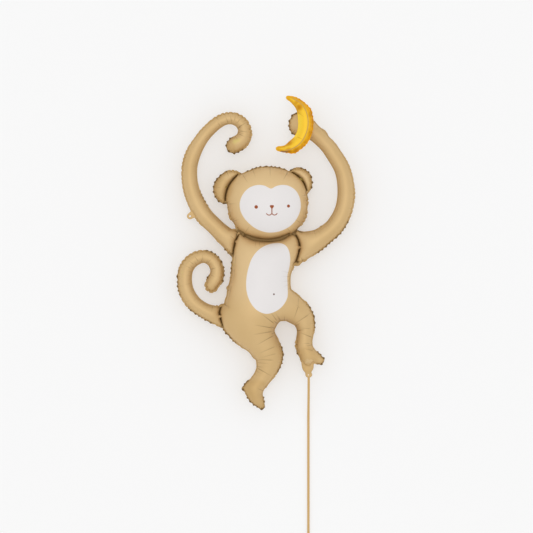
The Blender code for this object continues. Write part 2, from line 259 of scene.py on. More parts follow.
# %% [markdown]
# ## Foil, one finish for two colours
#
# Pastel balloon film is a thin metal coat under a coloured satin lacquer. Its colour is even. Painted shade
# deepens it towards the seams, where the film is crimped, and turns it dark brown along the welds and in the
# bottom of a crease. Fine dents show in its sheen. The mesh carries what the shader needs as attributes, such
# as `crease`, the painted shade of welds and folds, 1 in the bottom of a fold, `seam`, the seams' painted
# shade, 1 at the weld and 0 a little way in, and the crimps' phase and reach. Small groups work out each
# effect, and the last one turns them into colour, roughness and a bump height.

# %% The crimps' fine creases
FINE_CREASE_WIDTH = 0.0007
FULL_UP_TO = 0.15

CREASE_FACTS = ("phase_x", "phase_y", "gap", "reach", "tight")
inputs = dict.fromkeys((*CREASE_FACTS, "pitch"), FLOAT)
group, given, result = new_group("fine_creases", inputs, {"crease": FLOAT})
turn = calc(group, "ARCTAN2", given["phase_y"], given["phase_x"])
aside = product(group, calc(group, "DIVIDE", turn, 2 * pi), given["pitch"])
aside = calc(group, "DIVIDE", aside, FINE_CREASE_WIDTH)
line = calc(group, "EXPONENT", product(group, aside, aside, -1.0))
run = calc(group, "DIVIDE", calc(group, "ABSOLUTE", given["gap"]), given["reach"])
# The result is a fine crease's painted shade, which the finish also presses in as a bump.
feed(group, result, {"crease": product(group, line, ramp(group, run, 1.0, FULL_UP_TO), given["tight"])})
fine_creases = group

# %% The fringe's painted shade: dark rims and notches
PATCH_SCALE = 130.0
PATCH_BOUNDS = (0.40, 0.60)
PATCH_LOW = 0.3
RIM_BOUNDS = (-0.0012, -0.0028)
NOTCH_BOUNDS = (0.25, 0.85)

FRINGE_FACTS = ("fringe", "phase_x", "gap")
group, given, result = new_group("fringe_shade", dict.fromkeys(FRINGE_FACTS, FLOAT), {"dark": FLOAT})
patches = ramp(group, cloudy(group, PATCH_SCALE, 1.0), *PATCH_BOUNDS, PATCH_LOW)
rim = product(group, ramp(group, given["gap"], *RIM_BOUNDS), patches)
shade = calc(group, "MAXIMUM", rim, ramp(group, given["phase_x"], *NOTCH_BOUNDS))
feed(group, result, {"dark": product(group, shade, given["fringe"])})
fringe_shade = group

# %% The distance from a drawn line
group, given, result = new_group(
    "line_distance", dict.fromkeys(("place", "start", "run"), VECTOR), {"distance": FLOAT}
)


def vector_calc(operation, *values):
    """A Vector Math node of this group."""
    return add(line_distance, "ShaderNodeVectorMath", dict(enumerate(values)), operation=operation)


line_distance = group
off = vector_calc("SUBTRACT", given["place"], given["start"]).outputs[0]
onto = vector_calc("DOT_PRODUCT", off, given["run"]).outputs["Value"]
square = vector_calc("DOT_PRODUCT", given["run"], given["run"]).outputs["Value"]
along = add(group, "ShaderNodeMath", {0: onto, 1: square}, operation="DIVIDE", use_clamp=True).outputs[0]
foot = vector_calc("SCALE", given["run"])
feed(group, foot, {"Scale": along})
feed(group, result, {"distance": vector_calc("DISTANCE", off, foot.outputs[0]).outputs["Value"]})

# %% The foil's finish
GRAIN_SCALE = 420.0
GRAIN_HEIGHT = 0.00004
GRAIN_ROUGHNESS = 0.10
SEAM_CLOUDS = 9.0
SEAM_LEAST = 0.4
DENT_SCALE = 55.0
DENT_DEPTH = 0.0010
FINE_CREASE_DEPTH = 0.0009
FINE_CREASE_SHADE = 0.8

colours = dict.fromkeys(("Foil Colour", "Seam Shade Colour", "Crease Shade Colour"), COLOUR)
strengths = dict.fromkeys(("Crease", "Fine Crease", "Seam", "Roughness"), FLOAT)
results = {"Colour": COLOUR, "Roughness": FLOAT, "Height": FLOAT}
group, given, result = new_group("foil_finish", {**colours, **strengths}, results)
grain = cloudy(group, GRAIN_SCALE, 2.0)
# Painted shade: the seam colour near the seams, in soft clouds, and the crease colour in welds and creases.
clouds = calc(group, "ADD", cloudy(group, SEAM_CLOUDS, 3.0), SEAM_LEAST)
fold = calc(group, "MAXIMUM", given["Crease"], product(group, given["Fine Crease"], FINE_CREASE_SHADE))
colour = mixed(group, product(group, given["Seam"], clouds), given["Foil Colour"], given["Seam Shade Colour"])
height = product(group, cloudy(group, DENT_SCALE, 2.0), DENT_DEPTH)
height = calc(group, "MULTIPLY_ADD", grain, GRAIN_HEIGHT, height)
finished = {
    "Colour": mixed(group, fold, colour, given["Crease Shade Colour"]),
    "Roughness": calc(group, "MULTIPLY_ADD", grain, GRAIN_ROUGHNESS, given["Roughness"]),
    "Height": calc(group, "MULTIPLY_ADD", given["Fine Crease"], -FINE_CREASE_DEPTH, height),
}
feed(group, result, finished)
foil_finish = group
print("foil finish:", len(foil_finish.nodes), "nodes")

# %% A foil material
LONG_CREASE_LINE = 0.0013
BUMP_STRENGTH = 0.5
FOIL_SPECULAR = 0.2


def from_line(tree, place, x0, y0, x1, y1):
    """The distance of a seen place from a line of the drawing."""
    start = on_drawing(x0, y0)
    run = on_drawing(x1, y1) - start
    inputs = {"start": (*start, 0), "run": (*run, 0), "place": place}
    return add(tree, "ShaderNodeGroup", inputs, node_tree=line_distance).outputs["distance"]


def long_crease_line(tree):
    """Painted shade of the long creases: thin lines, crisp between vertices as their distance is signed."""
    narrow = calc(tree, "DIVIDE", attribute(tree, "crease_off"), LONG_CREASE_LINE)
    groove = calc(tree, "EXPONENT", product(tree, narrow, narrow, -1.0))
    return product(tree, groove, attribute(tree, "crease_shade"))


def effect(tree, group, facts, **others):
    """A group fed with the attributes that have its inputs' names, and with these other inputs."""
    inputs = {fact: attribute(tree, fact) for fact in facts}
    return add(tree, "ShaderNodeGroup", {**inputs, **others}, node_tree=group).outputs[0]


def foil_material(name, foil, seam, crease, roughness, pitch):
    """A foil material, as (material, tree, shader, the finish node, the seen place)."""
    made, tree, shader = new_material(name)
    seen = {0: attribute(tree, "seen_x"), 1: attribute(tree, "seen_y")}
    seen_place = add(tree, "ShaderNodeCombineXYZ", seen).outputs[0]
    drawn = long_crease_line(tree)
    fringe = effect(tree, fringe_shade, FRINGE_FACTS)
    fine = effect(tree, fine_creases, CREASE_FACTS, pitch=pitch)
    # The crease, fringe and crease-line values are painted shade that darkens the colour.
    inputs = {
        "Foil Colour": (*foil, 1),
        "Seam Shade Colour": (*seam, 1),
        "Crease Shade Colour": (*crease, 1),
        "Crease": calc(tree, "MAXIMUM", attribute(tree, "crease"), fringe),
        "Fine Crease": calc(tree, "MAXIMUM", fine, drawn),
        "Seam": attribute(tree, "seam"),
        "Roughness": roughness,
    }
    finish = add(tree, "ShaderNodeGroup", inputs, node_tree=foil_finish)
    height = finish.outputs["Height"]
    bump = add(tree, "ShaderNodeBump", {"Height": height, "Distance": 1.0, "Strength": BUMP_STRENGTH})
    outputs = {
        "Base Color": finish.outputs["Colour"],
        "Roughness": finish.outputs["Roughness"],
        "Normal": bump.outputs["Normal"],
        "Specular IOR Level": FOIL_SPECULAR,
    }
    feed(tree, shader, outputs)
    return made, tree, shader, finish, seen_place


# %% [markdown]
# ## The front sheet of foil
#
# The frame's solid already has the true outline, welds and fullness, but in coarse triangles. A copy of its
# front half is welded into one open sheet and cut finer with the subdivide operator, finest along the seams,
# where all the small crimps are. Remodelling the outline from new curves would be the other way, but then the
# foil could drift away from the solid that it stands for.

# %% The front sheet and its points
MERGE_DISTANCE = 1e-6
FLAT_SLACK = 1e-5
FIRST_CUTS = 2
SEAM_BAND = 0.008


def front_sheet(node, weld_height):
    """The front foil of a node as one open bmesh sheet."""
    sheet = bmesh.new()
    sheet.from_mesh(node.data)
    bmesh.ops.remove_doubles(sheet, verts=sheet.verts, dist=MERGE_DISTANCE)
    behind = [v for v in sheet.verts if v.co.z < weld_height]
    bmesh.ops.delete(sheet, geom=behind, context="VERTS")
    return sheet


def places(sheet):
    """The sheet's vertices as an array."""
    return np.array([v.co[:] for v in sheet.verts])


def is_flat(points, weld_height):
    """Whether each point lies in the welded foil."""
    return points[:, 2] < weld_height + FOIL_HALF + FLAT_SLACK


def distances(points, others):
    """How far each point is from the nearest of the others, seen from the front."""
    tree = KDTree(len(others))
    for index, other in enumerate(others):
        tree.insert((other[0], other[1], 0.0), index)
    tree.balance()
    found = [tree.find((point[0], point[1], 0.0)) for point in points]
    return np.array([item[2] for item in found]), np.array([item[1] for item in found])


# %% Cutting the sheet finer


def borders_lifted(vertex, flat):
    """Whether a flat vertex has a lifted neighbour."""
    return any(not flat[e.other_vert(vertex).index] for e in vertex.link_edges)


def cut(sheet, edges, cuts, fill=True):
    """Cuts these edges, and the faces beside them into triangles again."""
    bmesh.ops.subdivide_edges(sheet, edges=edges, cuts=cuts, use_grid_fill=fill)
    bmesh.ops.triangulate(sheet, faces=sheet.faces[:])
    sheet.verts.index_update()


def cut_finer(sheet, weld_height):
    """Cuts every edge, then once more each edge near the border between flat and lifted foil."""
    cut(sheet, sheet.edges[:], FIRST_CUTS)
    points = places(sheet)
    flat = is_flat(points, weld_height)
    border = [v.index for v in sheet.verts if flat[v.index] and borders_lifted(v, flat)]
    away, _ = distances(points, points[border])
    cut(sheet, [e for e in sheet.edges if max(away[v.index] for v in e.verts) < SEAM_BAND], 1)
    chords = [e for e in sheet.edges if not e.is_boundary and all(v.is_boundary for v in e.verts)]
    cut(sheet, chords, 1, fill=False)
    sheet.faces.index_update()


# %% [markdown]
# ## Rails: the seam lines
#
# The border between flat and lifted foil is where the two sheets are welded. The coarse solid draws it, and
# the foil's own edge, with short straight pieces. A few rounds of smoothing along these rails turn them back
# into curves, without pulling tight bends inwards, and then the points between them are evened out.

# %% Seam lines


def seam_lines(sheet, flat):
    """The directed borders of the lifted foil, with it on their left, as closed lists of vertex indices."""
    ahead = {}
    for face in sheet.faces:
        if all(flat[v.index] for v in face.verts):
            continue
        for loop in face.loops:
            start = loop.vert.index
            end = loop.link_loop_next.vert.index
            others = [f for f in loop.edge.link_faces if f is not face]
            if flat[start] and flat[end] and all(flat[v.index] for f in others for v in f.verts):
                ahead.setdefault(start, []).append(end)
    lines = []
    while ahead:
        start = next(iter(ahead))
        line = [start]
        while line[-1] in ahead:
            onward = ahead[line[-1]].pop()
            if not ahead[line[-1]]:
                del ahead[line[-1]]
            if onward == start:
                break
            line.append(onward)
        lines.append(line)
    return lines


# %% Smoothing along the seams


def edge_pairs(sheet):
    """Each edge's two vertex indices."""
    return np.array([[v.index for v in e.verts] for e in sheet.edges])


def neighbour_mean(points, pairs):
    """The mean place of each point's neighbours. A point without any stays."""
    total = np.zeros_like(points)
    count = np.zeros(len(points))
    for start, end in (pairs.T, pairs.T[::-1]):
        for axis in range(points.shape[1]):
            total[:, axis] += np.bincount(start, points[end, axis], len(points))
        count += np.bincount(start, minlength=len(points))
    mean = points.copy()
    mean[count > 0] = total[count > 0] / count[count > 0, None]
    return mean


RAIL_ROUNDS = 14
RAIL_PULL = 0.5
RAIL_PUSH = -0.53
FIELD_ROUNDS = 12
FIELD_PULL = 0.5


def smooth_rails(points, rails):
    """Smooths the rails along themselves."""
    for _ in range(RAIL_ROUNDS):
        for pull in (RAIL_PULL, RAIL_PUSH):
            points = points + pull * (neighbour_mean(points, rails) - points)
    return points


def evened_out(points, rails, pairs):
    """Evens out every point that isn't on a rail."""
    fixed = np.zeros(len(points), bool)
    fixed[rails.ravel()] = True
    for _ in range(FIELD_ROUNDS):
        moved = points + FIELD_PULL * (neighbour_mean(points, pairs) - points)
        points = np.where(fixed[:, None], points, moved)
    return points


# %% [markdown]
# ## Blowing it up
#
# Gas lifts the two sheets like a soap film held down along its welds: flat in the middle of a wide form, and
# steep at the seams. The film's height solves one simple equation over the sheet, and a conjugate gradient
# finds it in well under a second. Cloth simulation would do the same work more slowly, and would blur the
# seams.

# %% The film
FLATTENING = 2.0
FILM_ROUNDS = 700
FILM_PRECISION = 1e-7
LEAST_AREA = 1e-10


def film_height(points, triangles, held):
    """How high a soap film stands over the sheet, with the held points down."""
    corner = points[triangles]
    sides = [corner[:, 2] - corner[:, 1], corner[:, 0] - corner[:, 2], corner[:, 1] - corner[:, 0]]
    area = np.abs(sides[0][:, 0] * sides[1][:, 1] - sides[0][:, 1] * sides[1][:, 0]) / 2
    area = np.maximum(area, LEAST_AREA)
    count = len(points)
    load = sum(np.bincount(triangles[:, a], area / 3, count) for a in range(3))
    own = [(side**2).sum(axis=1) / (4 * area) for side in sides]
    diagonal = sum(np.bincount(triangles[:, a], own[a], count) for a in range(3))
    links = [((a + 1) % 3, (a + 2) % 3) for a in range(3)]
    weights = [(sides[b] * sides[c]).sum(axis=1) / (4 * area) for b, c in links]

    def stiff(height):
        """How hard the film pulls each point back from this height."""
        out = diagonal * height
        for (b, c), weight in zip(links, weights):
            out += np.bincount(triangles[:, b], weight * height[triangles[:, c]], count)
            out += np.bincount(triangles[:, c], weight * height[triangles[:, b]], count)
        return np.where(held, 0, out)

    height = np.zeros(count)
    rest = np.where(held, 0, load)
    scaled = rest / diagonal
    search = scaled.copy()
    power = rest @ scaled
    goal = power * FILM_PRECISION**2
    for _ in range(FILM_ROUNDS):
        pushed = stiff(search)
        step = power / (search @ pushed)
        height += step * search
        rest -= step * pushed
        scaled = rest / diagonal
        power, before = rest @ scaled, power
        if power < goal:
            break
        search = scaled + power / before * search
    return height


def lifts(points, triangles, held):
    """How far the gas lifts each point, from the film's height."""
    film = np.sqrt(2 * np.maximum(film_height(points, triangles, held), 0))
    return film * (1 - FLATTENING * film / BALLOON_HEIGHT)


# %% [markdown]
# ## Crimps and creases
#
# A flat sheet can't bend round a curved seam without gathering. So the flange stands in small waves along
# every outward bend, and a crease runs in from the seam between two waves. On most bends the rim has a notch
# there, and on the fringes that the picture shows with dark beads a small bead stands out instead, with
# painted shade on the rim. Along inward bends the flange folds back out of sight, and in a few calm places
# the picture shows a smooth rim. Crimps are nearly even: a phase counts them along each seam, a whole number
# of them round each line, and a few slow waves make their spacing a little uneven. The mesh takes the large
# moves, and the shader paints each fine crease's shade, with its bump, from the same phase.

# %% Where each point is along the seams
SEAM_SMOOTHING = 0.010
UNEVENNESS = 0.6
SLOW_WAVES = 4
FEWEST_SHARE = 7
MOST_SHARE = 3
LEAST_LENGTH = 1e-12
SEED = 7


def unit(vectors):
    """The vectors at length 1."""
    return vectors / np.maximum(lengths(vectors), LEAST_LENGTH)[:, None]


def to_right(vectors):
    """The vectors turned a quarter to the right, which is outwards beside a seam."""
    return np.stack([vectors[:, 1], -vectors[:, 0]], axis=1)


def rolling_mean(values, spread):
    """The mean over the neighbours on a closed line, this many to each side."""
    return sum(np.roll(values, shift, axis=0) for shift in range(-spread, spread + 1)) / (2 * spread + 1)


def seam_line(place, pitch, first, rng):
    """One closed seam line as columns: place, direction, bend, phase, phase a metre, first number, count."""
    after = np.roll(place, -1, axis=0)
    step = lengths(after - place)
    length = step.sum()
    along = np.concatenate([[0], np.cumsum(step[:-1])])
    spread = max(2, int(SEAM_SMOOTHING / step.mean()))
    ahead = unit(rolling_mean(after - np.roll(place, 1, axis=0), spread // 2))
    turn = np.roll(ahead, -1, axis=0) - np.roll(ahead, 1, axis=0)
    bend = -(turn * to_right(ahead)).sum(axis=1) / (np.roll(step, 1) + step)
    bend = rolling_mean(bend[:, None], spread)

    count = max(1, round(length / pitch))
    angle = 2 * pi * along / length
    phase = count * angle
    rate = np.full(len(place), 2 * pi * count / length)
    for _ in range(SLOW_WAVES):
        times = int(rng.integers(max(1, count // FEWEST_SHARE), max(2, count // MOST_SHARE) + 1))
        start = rng.uniform(0, 2 * pi)
        phase = phase + UNEVENNESS * np.sin(times * angle + start)
        rate = rate + UNEVENNESS * times * 2 * pi / length * np.cos(times * angle + start)
    numbers = np.full((len(place), 2), [first, count])
    return np.column_stack([place, ahead, bend, phase, rate, numbers])


def seam_table(points, lines, pitch, rng):
    """Every seam line's columns, one line after another, and how many crimps there are."""
    rows, first = [], 0
    for line in lines:
        rows.append(seam_line(points[line], pitch, first, rng))
        first += int(rows[-1][0, -1])
    return np.vstack(rows), first


# %% Circles of the drawing
ZONE_OUT = 2.5


def share(value, start, end):
    """How far a value is from start to end, from 0 to 1."""
    return np.clip((value - start) / (end - start), 0, 1)


def zone(points, circles, softness=1.0):
    """1 in these circles of the drawing, (x, y, radius), with a soft edge."""
    found = np.zeros(len(points))
    for x, y, radius in circles:
        away = lengths(points[:, :2] - on_drawing(x, y)) / UNIT
        found = np.maximum(found, share(away, radius + ZONE_OUT * softness, radius - softness))
    return found


def bell(value, width):
    """1 where the value is 0, and less to both sides."""
    return np.exp(-((value / width) ** 2))


# %% What a point knows of the seam beside it
LEAST_LIFT = 1e-4
PHASE_REACH = 0.004
INNER_WELD = (0.0062, 0.0095)
BULGING_BENDS = (0.5, 8.0)
LEAST_CRIMP = 0.3
# The corners where two limbs part. They have a fold darkened with painted shade, and no crimps.
CORNERS = [
    (240.5, 233.8, 5), (297, 233.5, 5.2), (231.8, 254.5, 2.4), (295.8, 261.6, 1.6), (222.5, 325.5, 2),
]


def beside_seams(points, lift, lines, outer, pitch):
    """For each point its distances, the seam's bend, the phase, and the strength and luck of its crimp."""
    rng = np.random.default_rng(SEED)
    seams, crimps = seam_table(points[:, :2], lines, pitch, rng)
    gap, nearest = distances(points, seams[:, :2])
    ahead, bend = seams[nearest, 2:4], seams[nearest, 4]
    along = ((points[:, :2] - seams[nearest, :2]) * ahead).sum(axis=1)
    phase = seams[nearest, 5] + seams[nearest, 6] * np.clip(along, -PHASE_REACH, PHASE_REACH)
    number = (seams[nearest, 7] + np.mod(np.rint(phase / (2 * pi)), seams[nearest, 8])).astype(int)
    outer_gap, _ = distances(points, points[outer])
    seam_outer_gap, _ = distances(seams[:, :2], points[outer, :2])
    return SimpleNamespace(
        gap=gap,
        bend=bend,
        phase=phase,
        outer_gap=outer_gap,
        outward=to_right(ahead),
        outside=lift < LEAST_LIFT,
        inner=share(outer_gap, *INNER_WELD),
        inner_seam=share(seam_outer_gap, *INNER_WELD)[nearest],
        corner=zone(points, CORNERS),
        bulge=share(bend, *BULGING_BENDS),
        depth=rng.uniform(LEAST_CRIMP, 1.0, crimps)[number],
        luck=rng.uniform(0, 1, crimps)[number],
    )


# %% The crimps' sizes
CREASE_WIDTH = 0.0020
CREASE_DEPTH = 0.0026
CREASE_START = 0.003
CREASE_OVER_REACH = 1.6
TIGHT_BENDS = (2.0, 26.0)
LEAST_TIGHT = 0.16
INNER_LOOSENING = 0.75
FOLDED_BENDS = (4.0, 26.0)
FOLDED = 0.15
FOLDED_REACH = (0.009, 0.013)
BULGING_REACH = (0.004, 0.020)
FLANGE_WIDTH = 0.005
FLANGE_REACH = 1.6 * FLANGE_WIDTH
MOST_RUN = 1.2
FLANGE_WAVE = 0.0024
FLANGE_NOTCH = 0.0032
NOTCH_LEVEL = 0.25
BEAD_WIDTH = 0.0036
BEAD_HEIGHT = 0.0034
BEAD_LEVEL = 0.3
FRINGED_LEAST = 0.9
FRINGED_BENDS = (2.0, 10.0)
RIM_STRENGTH = (0.45, 0.8)
RIM_REACH = 0.004
FOLD_BACK = 0.0034
FOLD_IN = 0.0012
SWELL = 0.0022
SWELL_ROUNDING = 0.007
CALM_PLACES = [
    (254.5, 358.5, 3), (325, 131, 3.6), (333.5, 140.5, 4), (296, 266.5, 3.4), (250.6, 140.5, 4),
]


# %% Crimps as moves of the mesh


def crimped(points, lift, lines, outer, plain, style):
    """The points moved by crimps, and what the shader needs to know of each, by attribute name."""
    size = style["size"]
    at = beside_seams(points, lift, lines, outer, style["pitch"])
    calm = (1 - at.inner_seam) * (1 - at.corner) * (1 - zone(points, CALM_PLACES))
    fringed = zone(points, style["shaded_fringes"])
    fringe_waves = FRINGED_LEAST * fringed * (1 - share(-at.bend, *FRINGED_BENDS))
    convex = np.maximum(at.bulge**2 * (3 - 2 * at.bulge), fringe_waves) * calm
    concave = share(-at.bend, *FOLDED_BENDS)
    tight = np.maximum(LEAST_TIGHT + (1 - LEAST_TIGHT) * share(at.bend, *TIGHT_BENDS), concave)
    tight = tight * at.depth * (1 - INNER_LOOSENING * at.inner_seam)
    tight = tight * (1 - at.corner) * style["crispness"]
    folded_reach = FOLDED_REACH[0] + FOLDED_REACH[1] * at.luck
    bulging_reach = BULGING_REACH[0] + BULGING_REACH[1] * at.luck**4
    reach = np.where(concave > FOLDED, folded_reach, bulging_reach) * size

    beside = np.angle(np.exp(1j * at.phase)) / (2 * pi) * style["pitch"]
    valley = bell(beside, CREASE_WIDTH)
    inward = np.clip(1 - at.gap / (CREASE_OVER_REACH * reach), 0, 1) * np.clip(at.gap / CREASE_START, 0, 1)
    sink = size * CREASE_DEPTH * tight * valley * inward * ~at.outside

    flange = at.outside & (at.outer_gap < FLANGE_REACH) & ~plain
    free = 1 - zone(points, style["plain_places"])
    run = np.where(flange, np.clip(at.gap / FLANGE_WIDTH, 0, MOST_RUN), 0) * (1 - at.inner_seam) * free
    fold = size * run * (1 - convex) ** 2 * (1 - at.corner)
    strength = convex * (RIM_STRENGTH[0] + RIM_STRENGTH[1] * at.depth)
    near_rim = strength * np.where(at.outside, 1.0, np.exp(-at.gap / RIM_REACH)) * free
    notch = FLANGE_NOTCH * (valley - NOTCH_LEVEL) * (1 - fringed)
    bead = BEAD_HEIGHT * (bell(beside, BEAD_WIDTH) - BEAD_LEVEL) * fringed
    moved = points.copy()
    moved[:, :2] -= at.outward * (size * near_rim * (notch - bead) + FOLD_IN * fold)[:, None]
    swell = zone(points, style["swollen"]) * np.sqrt(share(at.outer_gap, 0, SWELL_ROUNDING))
    moved[:, 2] += SWELL * swell * plain - sink

    facts = shades(points, at, plain, style)
    facts["wave"] = size * FLANGE_WAVE * convex * run * np.sin(at.phase) - FOLD_BACK * fold
    facts["fringe"] = np.where(flange, convex * (FRINGE_BASE + (FRINGE_TOP - FRINGE_BASE) * fringed), 0)
    facts["phase_x"] = np.cos(at.phase)
    facts["phase_y"] = np.sin(at.phase)
    facts["gap"] = np.where(at.outside, -at.gap, at.gap)
    facts["reach"] = reach
    facts["tight"] = tight * ~(plain & at.outside)
    return moved, facts


# %% The seams' painted shade
FRINGE_BASE = 0.15
FRINGE_TOP = 0.86
INNER_WELD_SHADE = 0.95
NECK_SHADE = 0.66
WELD_GLOOM = 0.34
WELD_GLOOM_REACH = 0.0024
CORNER_SHADE = 0.7
FLANGE_SHADE = 0.10
PLAIN_EDGE = 0.0045
HEEL_SHADE = 0.12
SEAM_FADE = 0.008
STRAIGHT_FADE = 0.42
LIMB_FADE = 0.8
FLANGE_SEAM = 0.8
LIMB_SHADE = 0.46
WIDE_SOFTNESS = 9.0


def shades(points, at, plain, style):
    """Painted shade at welds, corners, flange and heel, and each point's share of the painted seam shade."""
    # Painted shade: dark welds, lighter at the neck, dark open corners, a darker flange and a shaded heel.
    middle_shade = INNER_WELD_SHADE - (INNER_WELD_SHADE - NECK_SHADE) * zone(points, style["lightly_shaded_welds"])
    dark = np.where(at.outside, middle_shade, WELD_GLOOM * np.exp(-at.gap / WELD_GLOOM_REACH))
    dark = dark * np.where(at.outside, at.inner, at.inner_seam) * ~plain
    dark = np.maximum(dark, CORNER_SHADE * at.corner * at.outside) * (1 - zone(points, style["unshaded_welds"]))
    edge = np.where(plain, share(at.outer_gap, PLAIN_EDGE, 0.0), 1)
    dark = np.maximum(dark, FLANGE_SHADE * at.outside * edge)
    dark = np.maximum(dark, HEEL_SHADE * zone(points, style["shaded_heel"]))

    # Painted seam shade: the foil takes the seam colour near each weld, and further in on the shaded limbs.
    fade = SEAM_FADE * (STRAIGHT_FADE + (1 - STRAIGHT_FADE) * at.bulge)
    fade = fade * (1 + LIMB_FADE * zone(points, style["shaded_limbs"]))
    on_flange = np.where(plain, style["plain_seam"], FLANGE_SEAM)
    seam = np.where(at.outside, on_flange, np.exp(-at.gap / fade))
    # Painted shade of small forms: limbs take some seam colour all over, wide forms less, listed places more.
    deep = LIMB_SHADE * (1 - zone(points, style["wide_forms"], WIDE_SOFTNESS))
    deep = deep + style["place_shade"] * zone(points, style["shaded_places"])
    return {"crease": np.clip(dark, 0, 1), "seam": np.maximum(seam, deep * ~plain)}


# %% [markdown]
# ## Creases that the picture shows one by one
#
# Round the hips the film is pulled hard between the legs, and long creases fan out from the fork. A few more
# stand on the head, the belly, the arms and the tail. Each is a straight fold with its deep end at the seam.
# They are listed as lines of the drawing, (x0, y0, x1, y1, strength), and pressed into the foil as V grooves,
# with the foil beside them pushed up a little. The shader paints a thin line of shade in the bottom of each.

# %% Single creases
LONG_CREASES = [
    (274, 323.4, 262.2, 314.6, 1), (277, 320.8, 270.8, 312.6, 0.8), (279.3, 319.6, 276, 313.6, 0.5),
    (272.3, 328, 256, 325.2, 1), (272.4, 331.4, 254.6, 334.4, 0.9), (273.4, 335.6, 258.2, 344.2, 1),
    (275, 346.6, 260, 353, 0.7), (276, 353.6, 262, 357.4, 0.5), (273, 360.2, 257.2, 359.4, 0.7),
    (257.2, 368, 270.6, 375.6, 1), (257, 362.6, 268.6, 363.6, 0.5), (298.3, 297.6, 298.4, 306.5, 0.5),
    (298.4, 306, 294.4, 317.6, 0.9), (308.6, 314.6, 295.6, 323.4, 0.9), (310.6, 328.8, 299.4, 328, 0.5),
    (312.6, 337.6, 301, 333, 1), (309.8, 343.6, 303.4, 343.4, 0.6), (313, 350.6, 304.4, 348.6, 0.6),
    (242.6, 174.6, 247.2, 181.8, 0.7), (252.6, 169.4, 255.4, 176.8, 0.5), (270, 167.4, 270.3, 176, 0.6),
    (287.6, 172, 283.6, 179.4, 0.8), (231, 222, 239, 219.4, 0.7), (300, 222.5, 294.5, 219, 0.6),
    (245.4, 232, 249.2, 226.8, 0.6), (290, 231.2, 286.4, 227.4, 0.6), (228.4, 204, 235.4, 203.6, 0.5),
    (230.6, 236, 236, 240.6, 0.5), (228, 122.6, 225.6, 116.8, 0.6), (231.5, 121.6, 230.2, 115.4, 0.7),
    (234.5, 121, 235.4, 115, 0.7), (237, 123, 241, 118, 0.7), (238.4, 127.2, 245.8, 122.8, 1),
    (239.4, 130.9, 247.6, 132, 0.8), (238.4, 133.6, 244.4, 136.6, 0.8), (220, 126, 217.4, 121.4, 0.5),
    (193.8, 264.4, 188.4, 260.6, 0.6), (198.2, 261.4, 194.6, 256.2, 0.7), (203, 260.6, 202.2, 254.4, 0.6),
    (207.4, 263.2, 211.6, 258.6, 0.6), (190.9, 268.4, 185.6, 265.8, 0.5), (191.4, 283, 185.4, 284.6, 0.4),
    (289, 272.6, 281.5, 271, 0.6), (289.4, 276.8, 282, 276.2, 0.6), (289.2, 280.8, 282.4, 281.8, 0.6),
    (289, 284.6, 283.4, 286.6, 0.5), (256, 240.6, 255.2, 247, 0.5), (259.6, 241.2, 259.4, 246.4, 0.5),
    (264.4, 241.6, 264.6, 245.6, 0.4), (236, 255, 235, 266, 0.5), (235, 268, 233.6, 280, 0.4),
    (231.5, 286, 228.4, 300, 0.5),
]

# %% Pressing a crease into the foil
LONG_CREASE_DEPTH = 0.0014
LONG_CREASE_SHADE = 0.72
LONG_CREASE_BOUNDS = (0.009, 0.005)
LONG_CREASE_WIDTH = 0.0028
LIPS_WIDTH = 3 * LONG_CREASE_WIDTH
LIPS_HEIGHT = 0.35
CREASE_ONSET = (-0.04, 0.16)
CREASE_END = (1.1, 0.1)
CREASE_TAPER = 0.8


def with_long_creases(points, seen, lines):
    """The points with the listed creases pressed in, and what the shader needs: how far off, and how dark the
    painted shade is.
    """
    points = points.copy()
    nearest = np.full(len(points), np.inf)
    off = np.zeros(len(points))
    depth = np.zeros(len(points))
    side = 1
    for x0, y0, x1, y1, strength in lines:
        side = -side
        start = on_drawing(x0, y0)
        run = on_drawing(x1, y1) - start
        along = ((seen - start) @ run) / (run @ run)
        beside = (run[0] * (seen - start)[:, 1] - run[1] * (seen - start)[:, 0]) / np.linalg.norm(run)
        away = lengths(seen - start - np.clip(along, 0, 1)[:, None] * run)
        fade = strength * share(along, *CREASE_END) ** CREASE_TAPER * share(along, *CREASE_ONSET)
        closer = away < nearest
        nearest = np.where(closer, away, nearest)
        off = np.where(closer, side * beside, off)
        near = share(away, *LONG_CREASE_BOUNDS)
        depth = np.where(closer, LONG_CREASE_SHADE * fade * near, depth)
        groove = bell(away, LONG_CREASE_WIDTH)
        lips = bell(away, LIPS_WIDTH) - groove
        points[:, 2] += fade * LONG_CREASE_DEPTH * (LIPS_HEIGHT * lips - groove)
    return points, {"crease_off": off, "crease_shade": depth}


# %% [markdown]
# ## Closing the balloon
#
# The back is the same sheet mirrored in the plane of the welds, so that both halves share the foil's edge.
# Where the balloon lies on the floor its back is pressed flat. The back carries no print.

# %% Mirroring the sheet into a closed balloon
PRESSED_ROUNDING = 0.002


def meshed(name, work):
    """A smoothly shaded object made of a bmesh."""
    data = bpy.data.meshes.new(name)
    work.to_mesh(data)
    data.shade_smooth()
    return placed(name, data)


def store(sheet, facts, seen):
    """Puts each named list of numbers on the vertices as an attribute, and where each vertex is seen."""
    everywhere = {"front": np.ones(len(seen)), "seen_x": seen[:, 0], "seen_y": seen[:, 1]}
    for name, values in {**facts, **everywhere}.items():
        layer = sheet.verts.layers.float.new(name)
        for vertex, value in zip(sheet.verts, values):
            vertex[layer] = value


